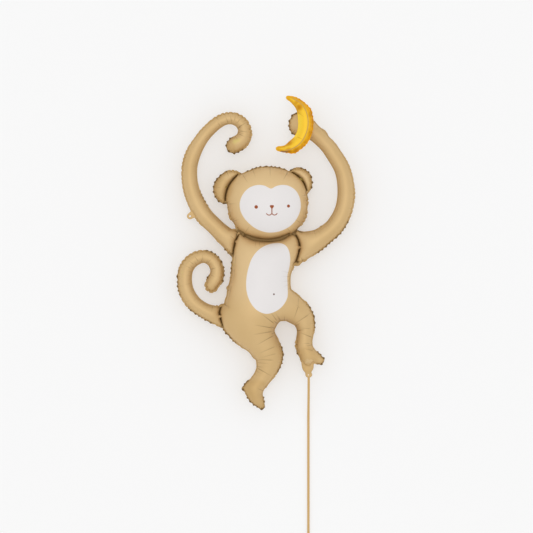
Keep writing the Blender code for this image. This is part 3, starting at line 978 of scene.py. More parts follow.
def closed_balloon(name, sheet, points, weld_height, back_depth):
    """The object made of the sheet at these points and its mirror image, flat on the floor behind."""
    for vertex, point in zip(sheet.verts, points):
        vertex.co = point
        vertex.co.z -= weld_height
    for edge in sheet.edges:
        if edge.is_boundary:
            for vertex in edge.verts:
                vertex.co.z = 0
    whole = sheet.faces[:] + sheet.edges[:] + sheet.verts[:]
    bmesh.ops.mirror(sheet, geom=whole, axis="Z", merge_dist=MERGE_DISTANCE)
    for edge in sheet.edges:
        if all(v.co.z == 0 for v in edge.verts):
            edge.smooth = False
    wave = sheet.verts.layers.float["wave"]
    front = sheet.verts.layers.float["front"]
    long_crease = sheet.verts.layers.float["crease_shade"]
    for vertex in sheet.verts:
        if vertex.co.z < 0:
            vertex[front] = 0.0
            vertex[long_crease] = 0.0
        above = vertex.co.z + vertex[wave] + back_depth
        pressed = (above + (above**2 + PRESSED_ROUNDING**2) ** 0.5) / 2
        vertex.co.z = pressed + weld_height - back_depth
    bmesh.ops.recalc_face_normals(sheet, faces=sheet.faces[:])
    loose = sum(1 for e in sheet.edges if len(e.link_faces) != 2)
    print(name, "has", len(sheet.faces), "triangles and", loose, "open edges")
    return meshed(name, sheet)


# %% [markdown]
# ## Printed patches
#
# The pale face and belly are printed on the flat film. An outline of a few points, made a smooth curve, gives
# every vertex its distance to the print's edge. A distance changes evenly between vertices, so the shader can
# cut a crisp edge out of it even where the mesh is coarse.

# %% The patches' outlines
FACE = [
    (270.9, 188.6), (264.5, 185.7), (257.5, 185), (249.5, 187.6), (243.4, 193.6), (239.9, 202),
    (240.6, 211), (245.6, 219.8), (254, 227.4), (262, 231.2), (270.5, 232.6), (280.5, 231),
    (290.5, 225.8), (297, 218.2), (300.6, 208.5), (299.8, 198.5), (295.6, 190.4), (289, 186),
    (282.4, 184.9), (276, 186.2),
]
BELLY = [
    (278.1, 243), (268, 244.6), (259, 249.6), (252.4, 257.6), (248.6, 267.5), (246.4, 279), (246.6, 291),
    (250, 301.5), (256.5, 309.8), (265.9, 313.8), (275.5, 311.4), (283, 305.5), (287.4, 297),
    (287.6, 286.5), (287.4, 276), (289.4, 267), (290.2, 258.5), (288.8, 250.5), (285, 245),
]
PATCH_STEP = 0.0012


def patch_distance(seen, outline):
    """How far inside the outline each point is, in metres. Outside it the distance is negative."""
    curve = smooth_line([on_drawing(*point) for point in outline], PATCH_STEP, closed=True)[:-1]
    away, _ = distances(seen, curve)
    after = np.roll(curve, -1, axis=0)
    crossed = np.zeros(len(seen), int)
    for (x0, y0), (x1, y1) in zip(curve, after):
        spans = (seen[:, 1] < y0) != (seen[:, 1] < y1)
        rise = y1 - y0 if y1 != y0 else 1.0
        crossed += spans & (seen[:, 0] < x0 + (seen[:, 1] - y0) * (x1 - x0) / rise)
    return np.where(crossed % 2 == 1, away, -away)


# %% [markdown]
# ## The monkey
#
# All the steps together. The sheet is cut, and the welds across the shoulders, the root of the tail and the
# filling tail are opened where the gas passes. The seams are smoothed, narrow welds are drawn closer
# together, and the foil is moved by up to two of the drawing's units where the picture shows it so. Then the
# film lifts it, and the crimps and creases are pressed in. The hanging tab and the filling tail are plain
# flat foil, without crimps. Places are listed as circles of the drawing, (x, y, radius).

# %% Places on the monkey
CRIMP_PITCH = 0.0155
SHARP = 1e-9
INSIDE = 0.5
PASSAGES = [
    (298, 234.2, 1.7), (236.2, 241.6, 1.3), (298.9, 247.5, 1.5), (219.8, 316.4, 1.4), (308, 361.8, 3.5),
]
# Fringes with beads, and darker painted shade on their rims.
SHADED_FRINGES = [
    (268, 168, 26), (219, 190, 20), (308, 182, 16), (232, 148, 11), (291, 124, 13), (219, 264, 19),
    (335, 240, 24), (315, 316, 13), (228, 336, 10), (283, 358, 15), (252, 399, 19), (178, 283, 12),
    (200, 318, 14), (327, 358, 12), (297, 353, 5),
]
PLAIN_PLACES = [(190, 216.2, 5.2), (308.5, 368.5, 9.5)]


def near_any(points, circles):
    """Whether each point is in one of these circles of the drawing."""
    return zone(points, circles, SHARP) > INSIDE


# %% Narrow welds, drawn together
WELDS_NARROWED = [
    (232.5, 187, 17), (300.5, 180, 17), (231.5, 247, 12), (299, 250, 13.5), (219.5, 317.5, 12),
]
WELD_SEARCH = 0.020
WELD_NARROWING = 0.30
WELD_SMOOTHING = 4
OPPOSITE = -0.3
STRAIGHT_ACROSS = 0.6


def weld_shifts(points, lines, circles):
    """How far each seam point moves towards the seam on the other side of a narrow weld."""
    shifts = np.zeros_like(points)
    order = np.concatenate(lines)
    place = points[order]
    after = np.concatenate([np.roll(line, -1) for line in lines])
    before = np.concatenate([np.roll(line, 1) for line in lines])
    ahead = unit(points[after] - points[before])
    outward = to_right(ahead)
    for row in np.flatnonzero(zone(place, circles) > INSIDE):
        way = place - place[row]
        far = lengths(way)
        facing = (ahead @ ahead[row] < OPPOSITE) & (way @ outward[row] > STRAIGHT_ACROSS * far)
        facing = facing & (far < WELD_SEARCH) & (far > 0)
        if facing.any():
            across = np.argmin(np.where(facing, far, np.inf))
            shifts[order[row]] = WELD_NARROWING * way[across]
    for line in lines:
        shifts[line] = rolling_mean(shifts[line], WELD_SMOOTHING)
    return shifts


# %% Narrow gaps, closed
PINCH_START = (0.0, 0.25)
PINCH_END = (1.3, 1.0)
MONKEY_PINCHES = [(233.6, 226.9, 242.4, 234.9, 1.5, 6), (299.2, 229.4, 292, 233.9, 1.5, 6)]


def pinched(points, pinches):
    """Closes narrow gaps of the drawing, each (x0, y0, x1, y1, half its width, how far the foil gives)."""
    for x0, y0, x1, y1, half, give in pinches:
        start = on_drawing(x0, y0)
        run = on_drawing(x1, y1) - start
        length = np.linalg.norm(run)
        left = np.array([-run[1], run[0]]) / length
        along = (points - start) @ run / length**2
        aside = (points - start) @ left / UNIT
        width = half * share(along, *PINCH_START) * share(along, *PINCH_END)
        kept = np.sign(aside) * np.maximum(np.abs(aside) - width, 0.0) * give / (give - width)
        moved = np.where(np.abs(aside) < give, kept, aside)
        points = points + ((moved - aside) * UNIT)[:, None] * left
    return points


# %% Small moves of the foil
NECK_SHIFT = 2.4
NECK_MIDDLE = 267.5
NECK_HALF = 22
NECK_LEVELS = [(222, 0), (233, 0.8), (237, 1), (241, 0)]
MONKEY_NUDGES = [
    (235.4, 230.4, -1, -2, 3.2), (299.6, 231.4, -0.8, -1, 3.5), (307, 231.4, 0, -0.7, 6),
    (306.6, 216, 1.3, 0.2, 5.5), (315.6, 121, 0.5, -0.5, 5), (325.2, 130.4, 0.8, -0.7, 3.4),
    (329.6, 137, -0.6, 0.4, 3.4), (293.5, 114, -0.7, -0.7, 3), (231.2, 268, -0.3, 0, 9),
    (222, 246, 0.4, -0.4, 4), (231.5, 224, 0.6, -0.3, 3.5), (293.2, 275, -1.2, 0, 6),
    (318, 253, -0.3, -0.6, 5), (226, 301.5, -1.7, 0, 4.5), (225, 332.6, -0.8, 0.8, 4),
    (239, 345, 0.3, -0.6, 6), (208, 277, -1, -0.3, 4), (212.6, 291.6, 0.2, 0.9, 5),
    (276.4, 332, -1.5, 0, 4), (278, 325, -0.5, -0.4, 3.5), (287, 322.5, 0, -0.6, 5),
    (296.4, 346, -1.2, 0, 6), (303.6, 299, -0.5, 0.6, 5.5), (256.2, 364, -0.6, 0, 4),
    (243.2, 388, -1.8, 0.1, 3.4), (249.4, 378.6, 0.9, 0.7, 4), (260.5, 408.2, 0, 1, 5),
    (263.4, 394.6, -0.9, 0, 4), (322.6, 356.2, -0.4, 0.7, 3), (248.8, 168.8, 0.2, 0.7, 5),
    (216.6, 178.8, -0.6, -0.5, 4), (225.8, 139.4, 0.6, 0.6, 3), (251, 128, -0.6, 0, 8),
    (299.4, 264.6, 0.2, 0.7, 3.2), (294.2, 267.4, 0.9, -0.2, 2), (310.5, 258.5, -0.2, -0.5, 4),
    (222, 283, 0.6, 0.3, 3.5), (217, 290.5, 0.4, 0.5, 3), (282.6, 350, 0.5, 0, 5),
    (296.3, 332, 0.6, 0, 4), (296.8, 353, -0.5, 0, 3), (253.3, 373, 0.5, 0.3, 4),
    (244.5, 384, 0.2, 0.6, 3), (264.8, 406.5, 0.6, 0.2, 3), (313.8, 316, 0.6, 0, 4),
    (218.5, 304.6, 0, 0.5, 4), (216, 325.5, 0, -0.6, 4), (202, 250, 0, 0.4, 4), (176.6, 281, 0.5, 0, 4),
    (192, 140, 0.4, 0.35, 22), (336.8, 188, -0.5, 0, 12), (327, 162, -0.4, 0.3, 10),
    (355.8, 195, 0.4, 0, 10), (219.5, 201.5, -0.3, 0.6, 5), (213.8, 182, -0.5, -0.2, 5),
    (311.5, 175, 0.6, -0.3, 5), (308.3, 201, 0.5, 0, 5), (228.6, 215, -0.6, 0, 3),
]


def nudged(points, nudges):
    """Moves the foil a little round some places of the drawing, each (x, y, right, down, radius)."""
    for x, y, right, down, radius in nudges:
        away = lengths(points - on_drawing(x, y)) / (radius * UNIT)
        points = points + np.exp(-(away**2))[:, None] * np.array([right, -down]) * UNIT
    return points


def neck_drawn_in(points):
    """Narrows the weld across the neck, by moving the head's lower edge down onto it."""
    x = points[:, 0] / UNIT + DRAWING_MIDDLE[0]
    y = DRAWING_MIDDLE[1] - points[:, 1] / UNIT
    across = np.clip(1 - ((x - NECK_MIDDLE) / NECK_HALF) ** 2, 0, 1)
    down = np.interp(y, *zip(*NECK_LEVELS)) * across
    return points - np.column_stack([np.zeros(len(points)), down * NECK_SHIFT * UNIT])


# %% A sheet of foil, all steps together


def foil_sheet(name, node, weld_height, style):
    """A node's front, cut finer, blown up and creased, as (sheet, points, lift, seen places, facts)."""
    sheet = front_sheet(node, weld_height)
    cut_finer(sheet, weld_height)
    points = places(sheet)
    flat = is_flat(points, weld_height) & ~near_any(points, style["passages"])
    pairs = edge_pairs(sheet)
    lines = seam_lines(sheet, flat)
    rails = [pair for line in lines for pair in zip(line, line[1:] + line[:1])]
    outer = [[v.index for v in e.verts] for e in sheet.edges if e.is_boundary]
    rails = np.array(rails + outer)
    smooth = smooth_rails(points[:, :2], rails)
    smooth = smooth + weld_shifts(smooth, lines, style["narrowed"])
    smooth = evened_out(smooth, rails, pairs)
    smooth = pinched(nudged(smooth, style["nudges"]), style["pinches"])
    if style["neck"]:
        smooth = neck_drawn_in(smooth)
    triangles = np.array([[v.index for v in f.verts] for f in sheet.faces])
    lift = lifts(smooth, triangles, flat)
    print(name, "rises", round(lift.max() * 1000, 1), "mm over", len(points), "points")
    blown = np.column_stack([smooth, weld_height + np.maximum(lift, FOIL_HALF / 2)])
    plain = near_any(blown, style["plain_places"])
    moved, facts = crimped(blown, lift, lines, np.unique(outer), plain, style)
    seen = seen_places(moved)
    moved, long_facts = with_long_creases(moved, seen, style["long_creases"])
    return sheet, moved, lift, seen, {**facts, **long_facts}


# %% [markdown]
# ## A style for each balloon
#
# The same steps make both balloons, and a style lists what differs: how wide the crimps are, and in which
# circles the gas passes a weld, the foil stays plain, the fringe is beaded and darker with painted shade, a
# weld's painted shade is lighter or left out, a limb's painted seam shade reaches further in, a wide form
# keeps less painted shade in its middle, or the plain foil swells.

# %% The monkey's style
LISTS = ("passages", "lightly_shaded_welds", "unshaded_welds", "shaded_heel", "shaded_limbs", "swollen", "narrowed", "pinches")
PLAIN_STYLE = {"size": 1.0, "crispness": 1.0, "plain_seam": 0.65, "place_shade": 0.30, "neck": False}
PLAIN_STYLE.update(dict.fromkeys(LISTS, ()))
SHADED_LIMBS = [
    (287, 330, 17), (262, 362, 14), (252, 394, 14), (306, 346, 14), (219, 190, 12), (190, 300, 24),
]
MONKEY_STYLE = {
    **PLAIN_STYLE,
    "pitch": CRIMP_PITCH,
    "neck": True,
    "passages": PASSAGES,
    "plain_places": PLAIN_PLACES,
    "shaded_fringes": SHADED_FRINGES,
    # Painted shade: lighter and unshaded welds, a shaded heel, wide forms kept lighter, and shaded places.
    "lightly_shaded_welds": [(267.5, 238, 21)],
    "unshaded_welds": [(295.4, 266, 2.2)],
    "shaded_heel": [(307.6, 361.4, 1.6)],
    "wide_forms": [(270, 200, 34), (263, 268, 30)],
    "shaded_places": [(222, 190, 11), (256, 394, 14), (308, 357, 10), (229, 147, 6)],
    "swollen": [(308.5, 367, 6)],
    "shaded_limbs": SHADED_LIMBS,
    "narrowed": WELDS_NARROWED,
    "pinches": MONKEY_PINCHES,
    "nudges": MONKEY_NUDGES,
    "long_creases": LONG_CREASES,
}

monkey_sheet, monkey_points, lift, seen, facts = foil_sheet(
    "monkey", nodes["monkey_balloon"], WELD_HEIGHT, MONKEY_STYLE
)

# %% The monkey's attributes and mesh
# Painted highlights on the film, as soft circles.
# In a soft circle with a radius under 1 even the middle stays below full strength.
SOFT_GLEAMS = [
    (235.2, 141.4, 0.9), (238.4, 140.3, 0.4), (182.2, 272, -1), (182.8, 276.5, -1.2), (234.2, 259.5, -1),
    (234, 264.5, -0.9), (241, 268.5, -1.2),
]
SOFT_DENT_SCALE = 22.0
SOFT_DENT_HEIGHT = 0.0012
SOFT_DENT_LIFT = 0.03


def soft_dents(points, lift):
    """Shallow dents of the film, a few centimetres across, as a height for each point."""
    heights = [noise.noise(Vector((x, y, 0)) * SOFT_DENT_SCALE) for x, y, _ in points]
    return np.array(heights) * SOFT_DENT_HEIGHT * np.clip(lift / SOFT_DENT_LIFT, 0, 1)


monkey_points[:, 2] += soft_dents(monkey_points, lift)
facts["face_print"] = patch_distance(seen, FACE)
facts["belly_print"] = patch_distance(seen, BELLY)
facts["gleam"] = zone(monkey_points, SOFT_GLEAMS)
store(monkey_sheet, facts, seen)
monkey = closed_balloon("monkey_foil", monkey_sheet, monkey_points, WELD_HEIGHT, WELD_HEIGHT)
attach(monkey, "root")
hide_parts("monkey_balloon")

# %% [markdown]
# ## The monkey's print
#
# The face is a plain one of dots and thin lines: two eyes, a rounded nose and a small mouth in rust brown, on
# the pale patch. Each is cut out of a distance, worked out from where the point is seen. All of it is print,
# so it changes only colour, the creases' painted shade darkens it and the sheen of the foil runs through it.
# The few bright gleams on the film, painted highlights, are put on last in the same way, and so is the pale
# eyelet of the filling tail.

# %% Print helpers
PRINT_SOFTNESS = 0.0006


def print_mask(tree, inside):
    """1 where the distance inside a print is positive, with a thin soft edge."""
    return ramp(tree, inside, -PRINT_SOFTNESS, PRINT_SOFTNESS, kind="SMOOTHSTEP")


def stroke(tree, place, x0, y0, x1, y1, half_width):
    """A printed stroke from one point of the drawing to another, or a dot where they are the same."""
    distance = from_line(tree, place, x0, y0, x1, y1)
    return print_mask(tree, calc(tree, "SUBTRACT", half_width * UNIT, distance))


def arc(tree, place, x, y, radius, half_width, top):
    """A printed arc: a thin ring round a point of the drawing, kept where it is below the top."""
    distance = from_line(tree, place, x, y, x, y)
    off_ring = calc(tree, "ABSOLUTE", calc(tree, "SUBTRACT", distance, radius * UNIT))
    ring = print_mask(tree, calc(tree, "SUBTRACT", half_width * UNIT, off_ring))
    below_top = calc(tree, "SUBTRACT", float(on_drawing(0, top)[1]), attribute(tree, "seen_y"))
    return product(tree, ring, print_mask(tree, below_top))


# %% The monkey's colours and marks
# TAN is the foil's own colour. Its seam and crease colours are painted shade.
TAN = (0.740, 0.535, 0.282)
TAN_SEAM_SHADE = (0.54, 0.345, 0.130)
TAN_CREASE_SHADE = (0.085, 0.038, 0.002)
PALE_PRINT = (0.80, 0.77, 0.76, 1)
PALE_CREASE_SHADE = (0.50, 0.46, 0.44, 1)
RUST_PRINT = (0.33, 0.085, 0.028, 1)
PRINT_STROKES = [
    (256.2, 207, 256.2, 206.9, 1.75), (288.5, 206.1, 288.5, 206, 1.5), (270.8, 206.1, 273, 206.1, 1),
    (270.9, 206.4, 271.9, 207.8, 0.95), (272.9, 206.4, 271.9, 207.8, 0.95),
    (271.9, 208, 271.9, 213.2, 0.5),
]
PRINT_ARCS = [(269.1, 212.3, 2.8, 0.46, 213.3), (274.5, 212.2, 2.8, 0.46, 213.1)]
NAVEL = (273.9, 294.3, 273.9, 294.2, 0.85)
NAVEL_GREY = (0.17, 0.10, 0.08, 1)
EYELET = (308.4, 374.9, 308.4, 374.8, 0.55)
EYELET_PALE = (0.86, 0.74, 0.64, 1)
# Painted highlights: olive ones on the ear welds, and soft ones on the film.
WELD_GLEAMS = [
    (299.6, 178.6, 302.6, 179.4, 0.7), (301.9, 179.4, 303, 180.4, 0.6), (225.6, 187.2, 226.4, 186.4, 0.6),
]
GLEAM_OLIVE = (0.43, 0.32, 0.08, 1)
SOFT_GLEAM = (0.70, 0.58, 0.19, 1)
TAN_ROUGHNESS = 0.48
TAN_METAL = 0.45
PRINT_METAL = 0.10

# %% The monkey's material
monkey_material, tree, shader, finish, seen_place = foil_material(
    "monkey_foil", TAN, TAN_SEAM_SHADE, TAN_CREASE_SHADE, TAN_ROUGHNESS, CRIMP_PITCH
)
front = attribute(tree, "front")
patches = [print_mask(tree, attribute(tree, patch)) for patch in ("face_print", "belly_print")]
pale = product(tree, calc(tree, "MAXIMUM", *patches), front)
marks = [stroke(tree, seen_place, *numbers) for numbers in PRINT_STROKES]
marks += [arc(tree, seen_place, *numbers) for numbers in PRINT_ARCS]
rust = marks[0]
for mark in marks[1:]:
    rust = calc(tree, "MAXIMUM", rust, mark)
rust = product(tree, rust, front)
navel = product(tree, stroke(tree, seen_place, *NAVEL), front)
# On the print the seams take no painted shade, and the creases a pale painted shade.
for socket, foil_colour, print_colour in (
    ("Foil Colour", TAN, PALE_PRINT),
    ("Seam Shade Colour", TAN_SEAM_SHADE, PALE_PRINT),
    ("Crease Shade Colour", TAN_CREASE_SHADE, PALE_CREASE_SHADE),
):
    tree.links.new(mixed(tree, pale, (*foil_colour, 1), print_colour), finish.inputs[socket])
printed = mixed(tree, rust, finish.outputs["Colour"], RUST_PRINT)
# Painted highlights: soft gleams on the film, olive gleams on the ear welds.
printed = mixed(tree, product(tree, attribute(tree, "gleam"), front), printed, SOFT_GLEAM)
for gleam in WELD_GLEAMS:
    gleaming = product(tree, stroke(tree, seen_place, *gleam), front)
    printed = mixed(tree, gleaming, printed, GLEAM_OLIVE)
eyelet = stroke(tree, seen_place, *EYELET)
printed = mixed(tree, eyelet, mixed(tree, navel, printed, NAVEL_GREY), EYELET_PALE)
metal = calc(tree, "MULTIPLY_ADD", pale, PRINT_METAL - TAN_METAL, TAN_METAL)
feed(tree, shader, {"Base Color": printed, "Metallic": metal})
monkey.data.materials.append(monkey_material)
print("monkey material:", len(tree.nodes), "nodes")

# %% [markdown]
# ## The banana
#
# A second, small balloon made in the same way. Its crimps are smaller, and painted shade deepens its yellow
# to orange at the seam. A thin brown line printed along it gives it a ridge. Outside the line painted shade
# makes it a deeper, spotted yellow, along the inner side a painted highlight makes it brightest, and a few
# places where it turns away have a painted orange shade. A short brown line of painted shadow darkens the
# foil under its lower tip.

# %% The banana's places and colours
BANANA_BACK_DEPTH = 0.009
BANANA_LINE = [
    (293, 98.6), (300.7, 103.2), (305.6, 110.2), (308, 119.3), (307.4, 129.1), (303.5, 138.9),
    (297.9, 145.3), (290.2, 149.5), (285.3, 150.2),
]
# The banana's own yellow. Its seam, outer, spot, crease and shadow colours are painted shade, the bright one
# a painted highlight.
YELLOW = (0.92, 0.58, 0.040)
YELLOW_SEAM_SHADE = (0.74, 0.36, 0.006)
YELLOW_OUTER_SHADE = (0.84, 0.41, 0.004, 1)
YELLOW_SHADE_SPOTS = (0.60, 0.24, 0.002, 1)
YELLOW_CREASE_SHADE = (0.34, 0.13, 0.002)
SHADOW_ORANGE = (0.60, 0.25, 0.003, 1)
BANANA_SHADOWS = [
    (299.2, 107.8, 1.8), (296.4, 103.4, 0.8), (311.2, 115.8, 1.4), (313.6, 121.5, 1.6),
    (313.8, 126.5, 1.6), (311.6, 133, 0.8), (295.6, 151.4, 1.6), (289, 151.8, 1.6), (288.6, 143.6, 1.2),
    (303, 147.8, 0.8),
]
# A line of painted shadow under the lower tip.
TIP_SHADOW_LINE = (281.2, 151.5, 287.4, 151.9, 0.6)
TIP_SHADOW_BROWN = (0.30, 0.16, 0.08, 1)
LINE_BROWN = (0.60, 0.35, 0.10, 1)
LINE_HALF_WIDTH = 0.0015
YELLOW_ROUGHNESS = 0.45
YELLOW_METAL = 0.3
OUTER_BOUNDS = (0.001, 0.011)
SPOT_SCALE = 55.0
SPOT_BOUNDS = (0.48, 0.62)
SPOT_STRENGTH = 0.8
INNER_BOUNDS = (-0.006, 0.004)
INNER_HIGHLIGHT_BOUNDS = (-0.027, -0.016)
BANANA_PITCH = 0.013
INNER_SEAM_SHADE = 0.05
YELLOW_HIGHLIGHT = (1.0, 0.70, 0.050, 1)
BANANA_WAIST = (299.0, 127.0, 11.5)
BANANA_NUDGES = [
    (292, 105, -0.7, 0.5, 5), (288, 141.5, -0.5, -0.8, 6), (293, 153, 0, 0.9, 6),
    (311.6, 110, 0.8, -0.5, 4), (290, 96, 0, 0.5, 5), (295.5, 153, 0.2, 0.6, 4),
]
BANANA_CREASES = [
    (298.2, 112.6, 303.5, 116.5, 0.9), (297.6, 110, 301, 106.5, 0.6), (296.6, 136.6, 303, 139.6, 0.9),
    (312.6, 124, 308.6, 121.5, 0.8), (290, 144.5, 282.5, 147, 0.7), (286, 101.5, 291.5, 103, 0.8),
    (307.6, 141.6, 304.6, 138.6, 0.7),
]


def beside_line(seen, line):
    """How far each point is to the left of a line of the drawing. On its right the distance is negative."""
    curve = smooth_line([on_drawing(*point) for point in line], PATCH_STEP)
    away, nearest = distances(seen, curve)
    ahead = np.gradient(curve, axis=0)[nearest]
    off = seen - curve[nearest]
    return np.where(ahead[:, 0] * off[:, 1] > ahead[:, 1] * off[:, 0], away, -away)


# %% The banana's foil
# Places where painted shade turns the yellow to the seam's orange.
BANANA_SHADED_PLACES = [
    (299.4, 108.6, 1.6), (290, 142.4, 2), (285.6, 144.4, 1.6), (287.6, 97.6, 3), (277.6, 148.6, 3),
    (288, 152.2, 2), (297, 151.6, 3), (313, 118, 2), (314, 134, 2.5), (308, 145, 2),
]
banana_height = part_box("banana_balloon")[0][2] + BANANA_BACK_DEPTH
BANANA_STYLE = {
    **PLAIN_STYLE,
    "pitch": BANANA_PITCH,
    "size": 0.55,
    "crispness": 0.3,
    "plain_seam": 0.7,
    "place_shade": 1.0,
    "plain_places": [(289, 97.2, 5), (277.8, 148.6, 5)],
    "shaded_fringes": [(311, 112, 13), (309, 136, 14), (294, 153, 11)],
    "wide_forms": [(298, 125, 60)],
    "shaded_places": BANANA_SHADED_PLACES,
    "nudges": BANANA_NUDGES,
    "long_creases": BANANA_CREASES,
}
banana_sheet, banana_points, lift, seen, facts = foil_sheet(
    "banana", nodes["banana_balloon"], banana_height, BANANA_STYLE
)

# %% The banana's attributes and mesh
facts["line"] = beside_line(seen, BANANA_LINE)
facts["shadow"] = zone(banana_points, BANANA_SHADOWS)
waist = zone(banana_points, [BANANA_WAIST])
inner_side = np.interp(facts["line"], INNER_BOUNDS, [1, 0]) * waist
for fact in ("seam", "crease"):
    facts[fact] = facts[fact] * (1 - (1 - INNER_SEAM_SHADE) * inner_side)
# A painted highlight along the inner side.
facts["inner_highlight"] = np.interp(facts["line"], INNER_HIGHLIGHT_BOUNDS, [1, 0]) * waist
store(banana_sheet, facts, seen)
banana = closed_balloon("banana_foil", banana_sheet, banana_points, banana_height, BANANA_BACK_DEPTH)
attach(banana, "root")
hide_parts("banana_balloon")

# %% The banana's material
banana_material, tree, shader, finish, seen_place = foil_material(
    "banana_foil", YELLOW, YELLOW_SEAM_SHADE, YELLOW_CREASE_SHADE, YELLOW_ROUGHNESS, BANANA_PITCH
)
front = attribute(tree, "front")
off_line = attribute(tree, "line")
# Painted shade outside the printed line, with darker spots.
outer_side = product(tree, ramp(tree, off_line, *OUTER_BOUNDS), front)
spots = product(tree, ramp(tree, cloudy(tree, SPOT_SCALE, 2.0), *SPOT_BOUNDS), outer_side, SPOT_STRENGTH)
inner_highlight = product(tree, attribute(tree, "inner_highlight"), front)
shadow = product(tree, attribute(tree, "shadow"), front)
tip_shadow = stroke(tree, seen_place, *TIP_SHADOW_LINE)
on_line = print_mask(tree, calc(tree, "SUBTRACT", LINE_HALF_WIDTH, calc(tree, "ABSOLUTE", off_line)))
line = product(tree, on_line, front)
shaded = finish.outputs["Colour"]
for mask, colour in (
    (inner_highlight, YELLOW_HIGHLIGHT),
    (outer_side, YELLOW_OUTER_SHADE),
    (spots, YELLOW_SHADE_SPOTS),
    (shadow, SHADOW_ORANGE),
    (tip_shadow, TIP_SHADOW_BROWN),
    (line, LINE_BROWN),
):
    shaded = mixed(tree, mask, shaded, colour)
feed(tree, shader, {"Base Color": shaded, "Metallic": YELLOW_METAL})
banana.data.materials.append(banana_material)
print("banana material:", len(tree.nodes), "nodes")

# %% [markdown]
# ## The ribbon
#
# A flat satin ribbon, woven in plain threads. Each piece of it is a flat grid, bent along a path, and given
# its thickness with solidify: the long strip, the short end that is glued behind the filling tail, and the
# knot in its far end, which is two bands wrapped round the strip and a loose tip.

# %% A band of ribbon along a path
RIBBON_THICKNESS = 0.0004
RIBBON_ACROSS = 4
HALF_GRID = 0.5
SHARP_TURN = 1.0


def ribbon_band(name, path, sides, widths):
    """A band of ribbon with its middle on the path, its width along the sides."""
    rows = len(path) - 1
    band = bmesh.new()
    bmesh.ops.create_grid(band, x_segments=RIBBON_ACROSS, y_segments=rows, size=HALF_GRID)
    for vertex in band.verts:
        row = round((vertex.co.y + HALF_GRID) * rows)
        vertex.co = Vector(path[row]) + Vector(sides[row]) * vertex.co.x * widths[row]
    bmesh.ops.recalc_face_normals(band, faces=band.faces[:])
    bmesh.ops.solidify(band, geom=band.faces[:], thickness=RIBBON_THICKNESS)
    for edge in band.edges:
        edge.smooth = edge.calc_face_angle(0) < SHARP_TURN
    return meshed(name, band)


def joined(name, pieces):
    """One mesh object of several."""
    whole = bmesh.new()
    for piece in pieces:
        whole.from_mesh(piece.data)
        bpy.data.objects.remove(piece)
    return meshed(name, whole)


# %% The strip and its short end
SIDEWAYS = np.array([1.0, 0.0, 0.0])
FINE_STEP = 0.001
TIE_ROUTE = [(-0.004, -0.0007), (0.0006, -0.001), (0.005, -0.0021), (0.01, -0.0023)]
TIE_TAPER = (1.0, 0.8)


def even_band(name, path, side, taper=(1.0, 1.0)):
    """A band of the ribbon with one side all along. The taper is its share of full width at both ends."""
    return ribbon_band(name, path, [side] * len(path), np.linspace(*taper, len(path)) * RIBBON_WIDTH)


ribbon = even_band("ribbon_strip", ribbon_path, SIDEWAYS)
tie_line = smooth_line(TIE_ROUTE, FINE_STEP)
tie_path = [(RIBBON_START[0], RIBBON_START[1] + up, WELD_HEIGHT + rise) for up, rise in tie_line]
tie = even_band("ribbon_tie", tie_path, SIDEWAYS, TIE_TAPER)

# %% The knot
KNOT_SHIFT = 0.006
KNOT_MIDDLE = np.array([*ribbon_path[-1][:2], LYING_HEIGHT]) + np.array([0.0, KNOT_SHIFT, 0.0])
KNOT_STEPS = 32
KNOT_TURNS = np.linspace(0, 2 * pi, KNOT_STEPS + 1)
KNOT_HALF_ACROSS = 0.0052
KNOT_HALF_HIGH = 0.0024
KNOT_NARROWING = 0.55
KNOT_BANDS = [(0, 0.4, 1), (0.0012, -0.45, 1.12)]
TIP_ROUTE = [(0, -0.0015, 0.0012), (0.0022, -0.0055, 0.0008), (0.0044, -0.0095, 0.0012)]
TIP_SIDE = Vector((0.85, 0.50, 0.10)).normalized()
TIP_TAPER = (0.5, 0.9)


def knot_band(offset, slant, size):
    """One turn of the ribbon round itself, slanting along it."""
    across = np.cos(KNOT_TURNS) * KNOT_HALF_ACROSS * size
    high = np.sin(KNOT_TURNS) * KNOT_HALF_HIGH * size
    path = KNOT_MIDDLE + np.column_stack([across, offset + slant * across, high])
    side = Vector((-slant, 1.0, 0.0)).normalized()
    return even_band("knot_band", path, side, (KNOT_NARROWING, KNOT_NARROWING))


tip = even_band("knot_tip", KNOT_MIDDLE + smooth_line(TIP_ROUTE, FINE_STEP), TIP_SIDE, TIP_TAPER)
knot = joined("ribbon_knot", [knot_band(*numbers) for numbers in KNOT_BANDS] + [tip])

# %% The ribbon's satin
RIBBON_TAN = (0.60, 0.375, 0.135, 1)
THREAD_SCALE = 900.0
THREAD_DEPTH = 0.0001
RIBBON_ROUGHNESS = 0.5

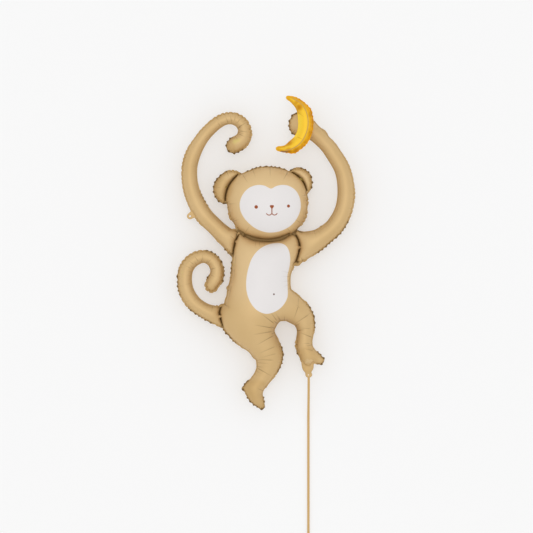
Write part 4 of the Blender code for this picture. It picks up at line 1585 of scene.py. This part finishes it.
ribbon_material, tree, shader = new_material("ribbon_satin")
place = add(tree, "ShaderNodeTexCoord").outputs["Object"]
waves = {"Vector": place, "Scale": THREAD_SCALE}
threads = add(tree, "ShaderNodeTexWave", waves, bands_direction="X").outputs["Fac"]
relief = {"Height": threads, "Distance": THREAD_DEPTH, "Strength": BUMP_STRENGTH}
normal = add(tree, "ShaderNodeBump", relief).outputs["Normal"]
feed(tree, shader, {"Base Color": RIBBON_TAN, "Roughness": RIBBON_ROUGHNESS, "Normal": normal})
for piece in (ribbon, tie, knot):
    piece.data.materials.append(ribbon_material)
    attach(piece, "root")
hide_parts("ribbon")
print("ribbon:", len(ribbon.data.polygons), "faces, knot:", len(knot.data.polygons), "faces")

# %% [markdown]
# ## The studio
#
# A plain pale floor, an even pale sky, and one large soft light from above and a little behind the head, as
# in a bright room. The light is broad, so the foil's sheen stays soft. The floor glows faintly, which keeps
# it even and pale right under the balloon.

# %% The floor and the light
FLOOR_SIDE = 30
FLOOR_GREY = (0.60, 0.60, 0.60, 1)
WHITE = (1, 1, 1, 1)
FLOOR_GLOW = 0.34
FLOOR_ROUGHNESS = 0.9
SKY_STRENGTH = 0.87
KEY_STRENGTH = 0.4
KEY_SPREAD = 30
KEY_TILT = 5
KEY_TURN = 180

bpy.ops.mesh.primitive_plane_add(size=FLOOR_SIDE)
floor = bpy.context.object
floor.name = "floor"
floor_material, tree, shader = new_material("pale_floor")
glow = {"Emission Color": WHITE, "Emission Strength": FLOOR_GLOW}
feed(tree, shader, {"Base Color": FLOOR_GREY, "Roughness": FLOOR_ROUGHNESS, **glow})
floor.data.materials.append(floor_material)

bpy.context.scene.view_settings.view_transform = "Standard"
world = bpy.data.worlds.new("studio")
bpy.context.scene.world = world
world.use_nodes = True
sky = world.node_tree.nodes["Background"]
feed(world.node_tree, sky, {"Color": WHITE, "Strength": SKY_STRENGTH})

key_data = bpy.data.lights.new("key", "SUN")
key_data.energy = KEY_STRENGTH
key_data.angle = radians(KEY_SPREAD)
key = placed("key", key_data)
key.rotation_euler = (radians(KEY_TILT), 0, radians(KEY_TURN))
print("lights:", key.name, "and a sky of strength", SKY_STRENGTH)
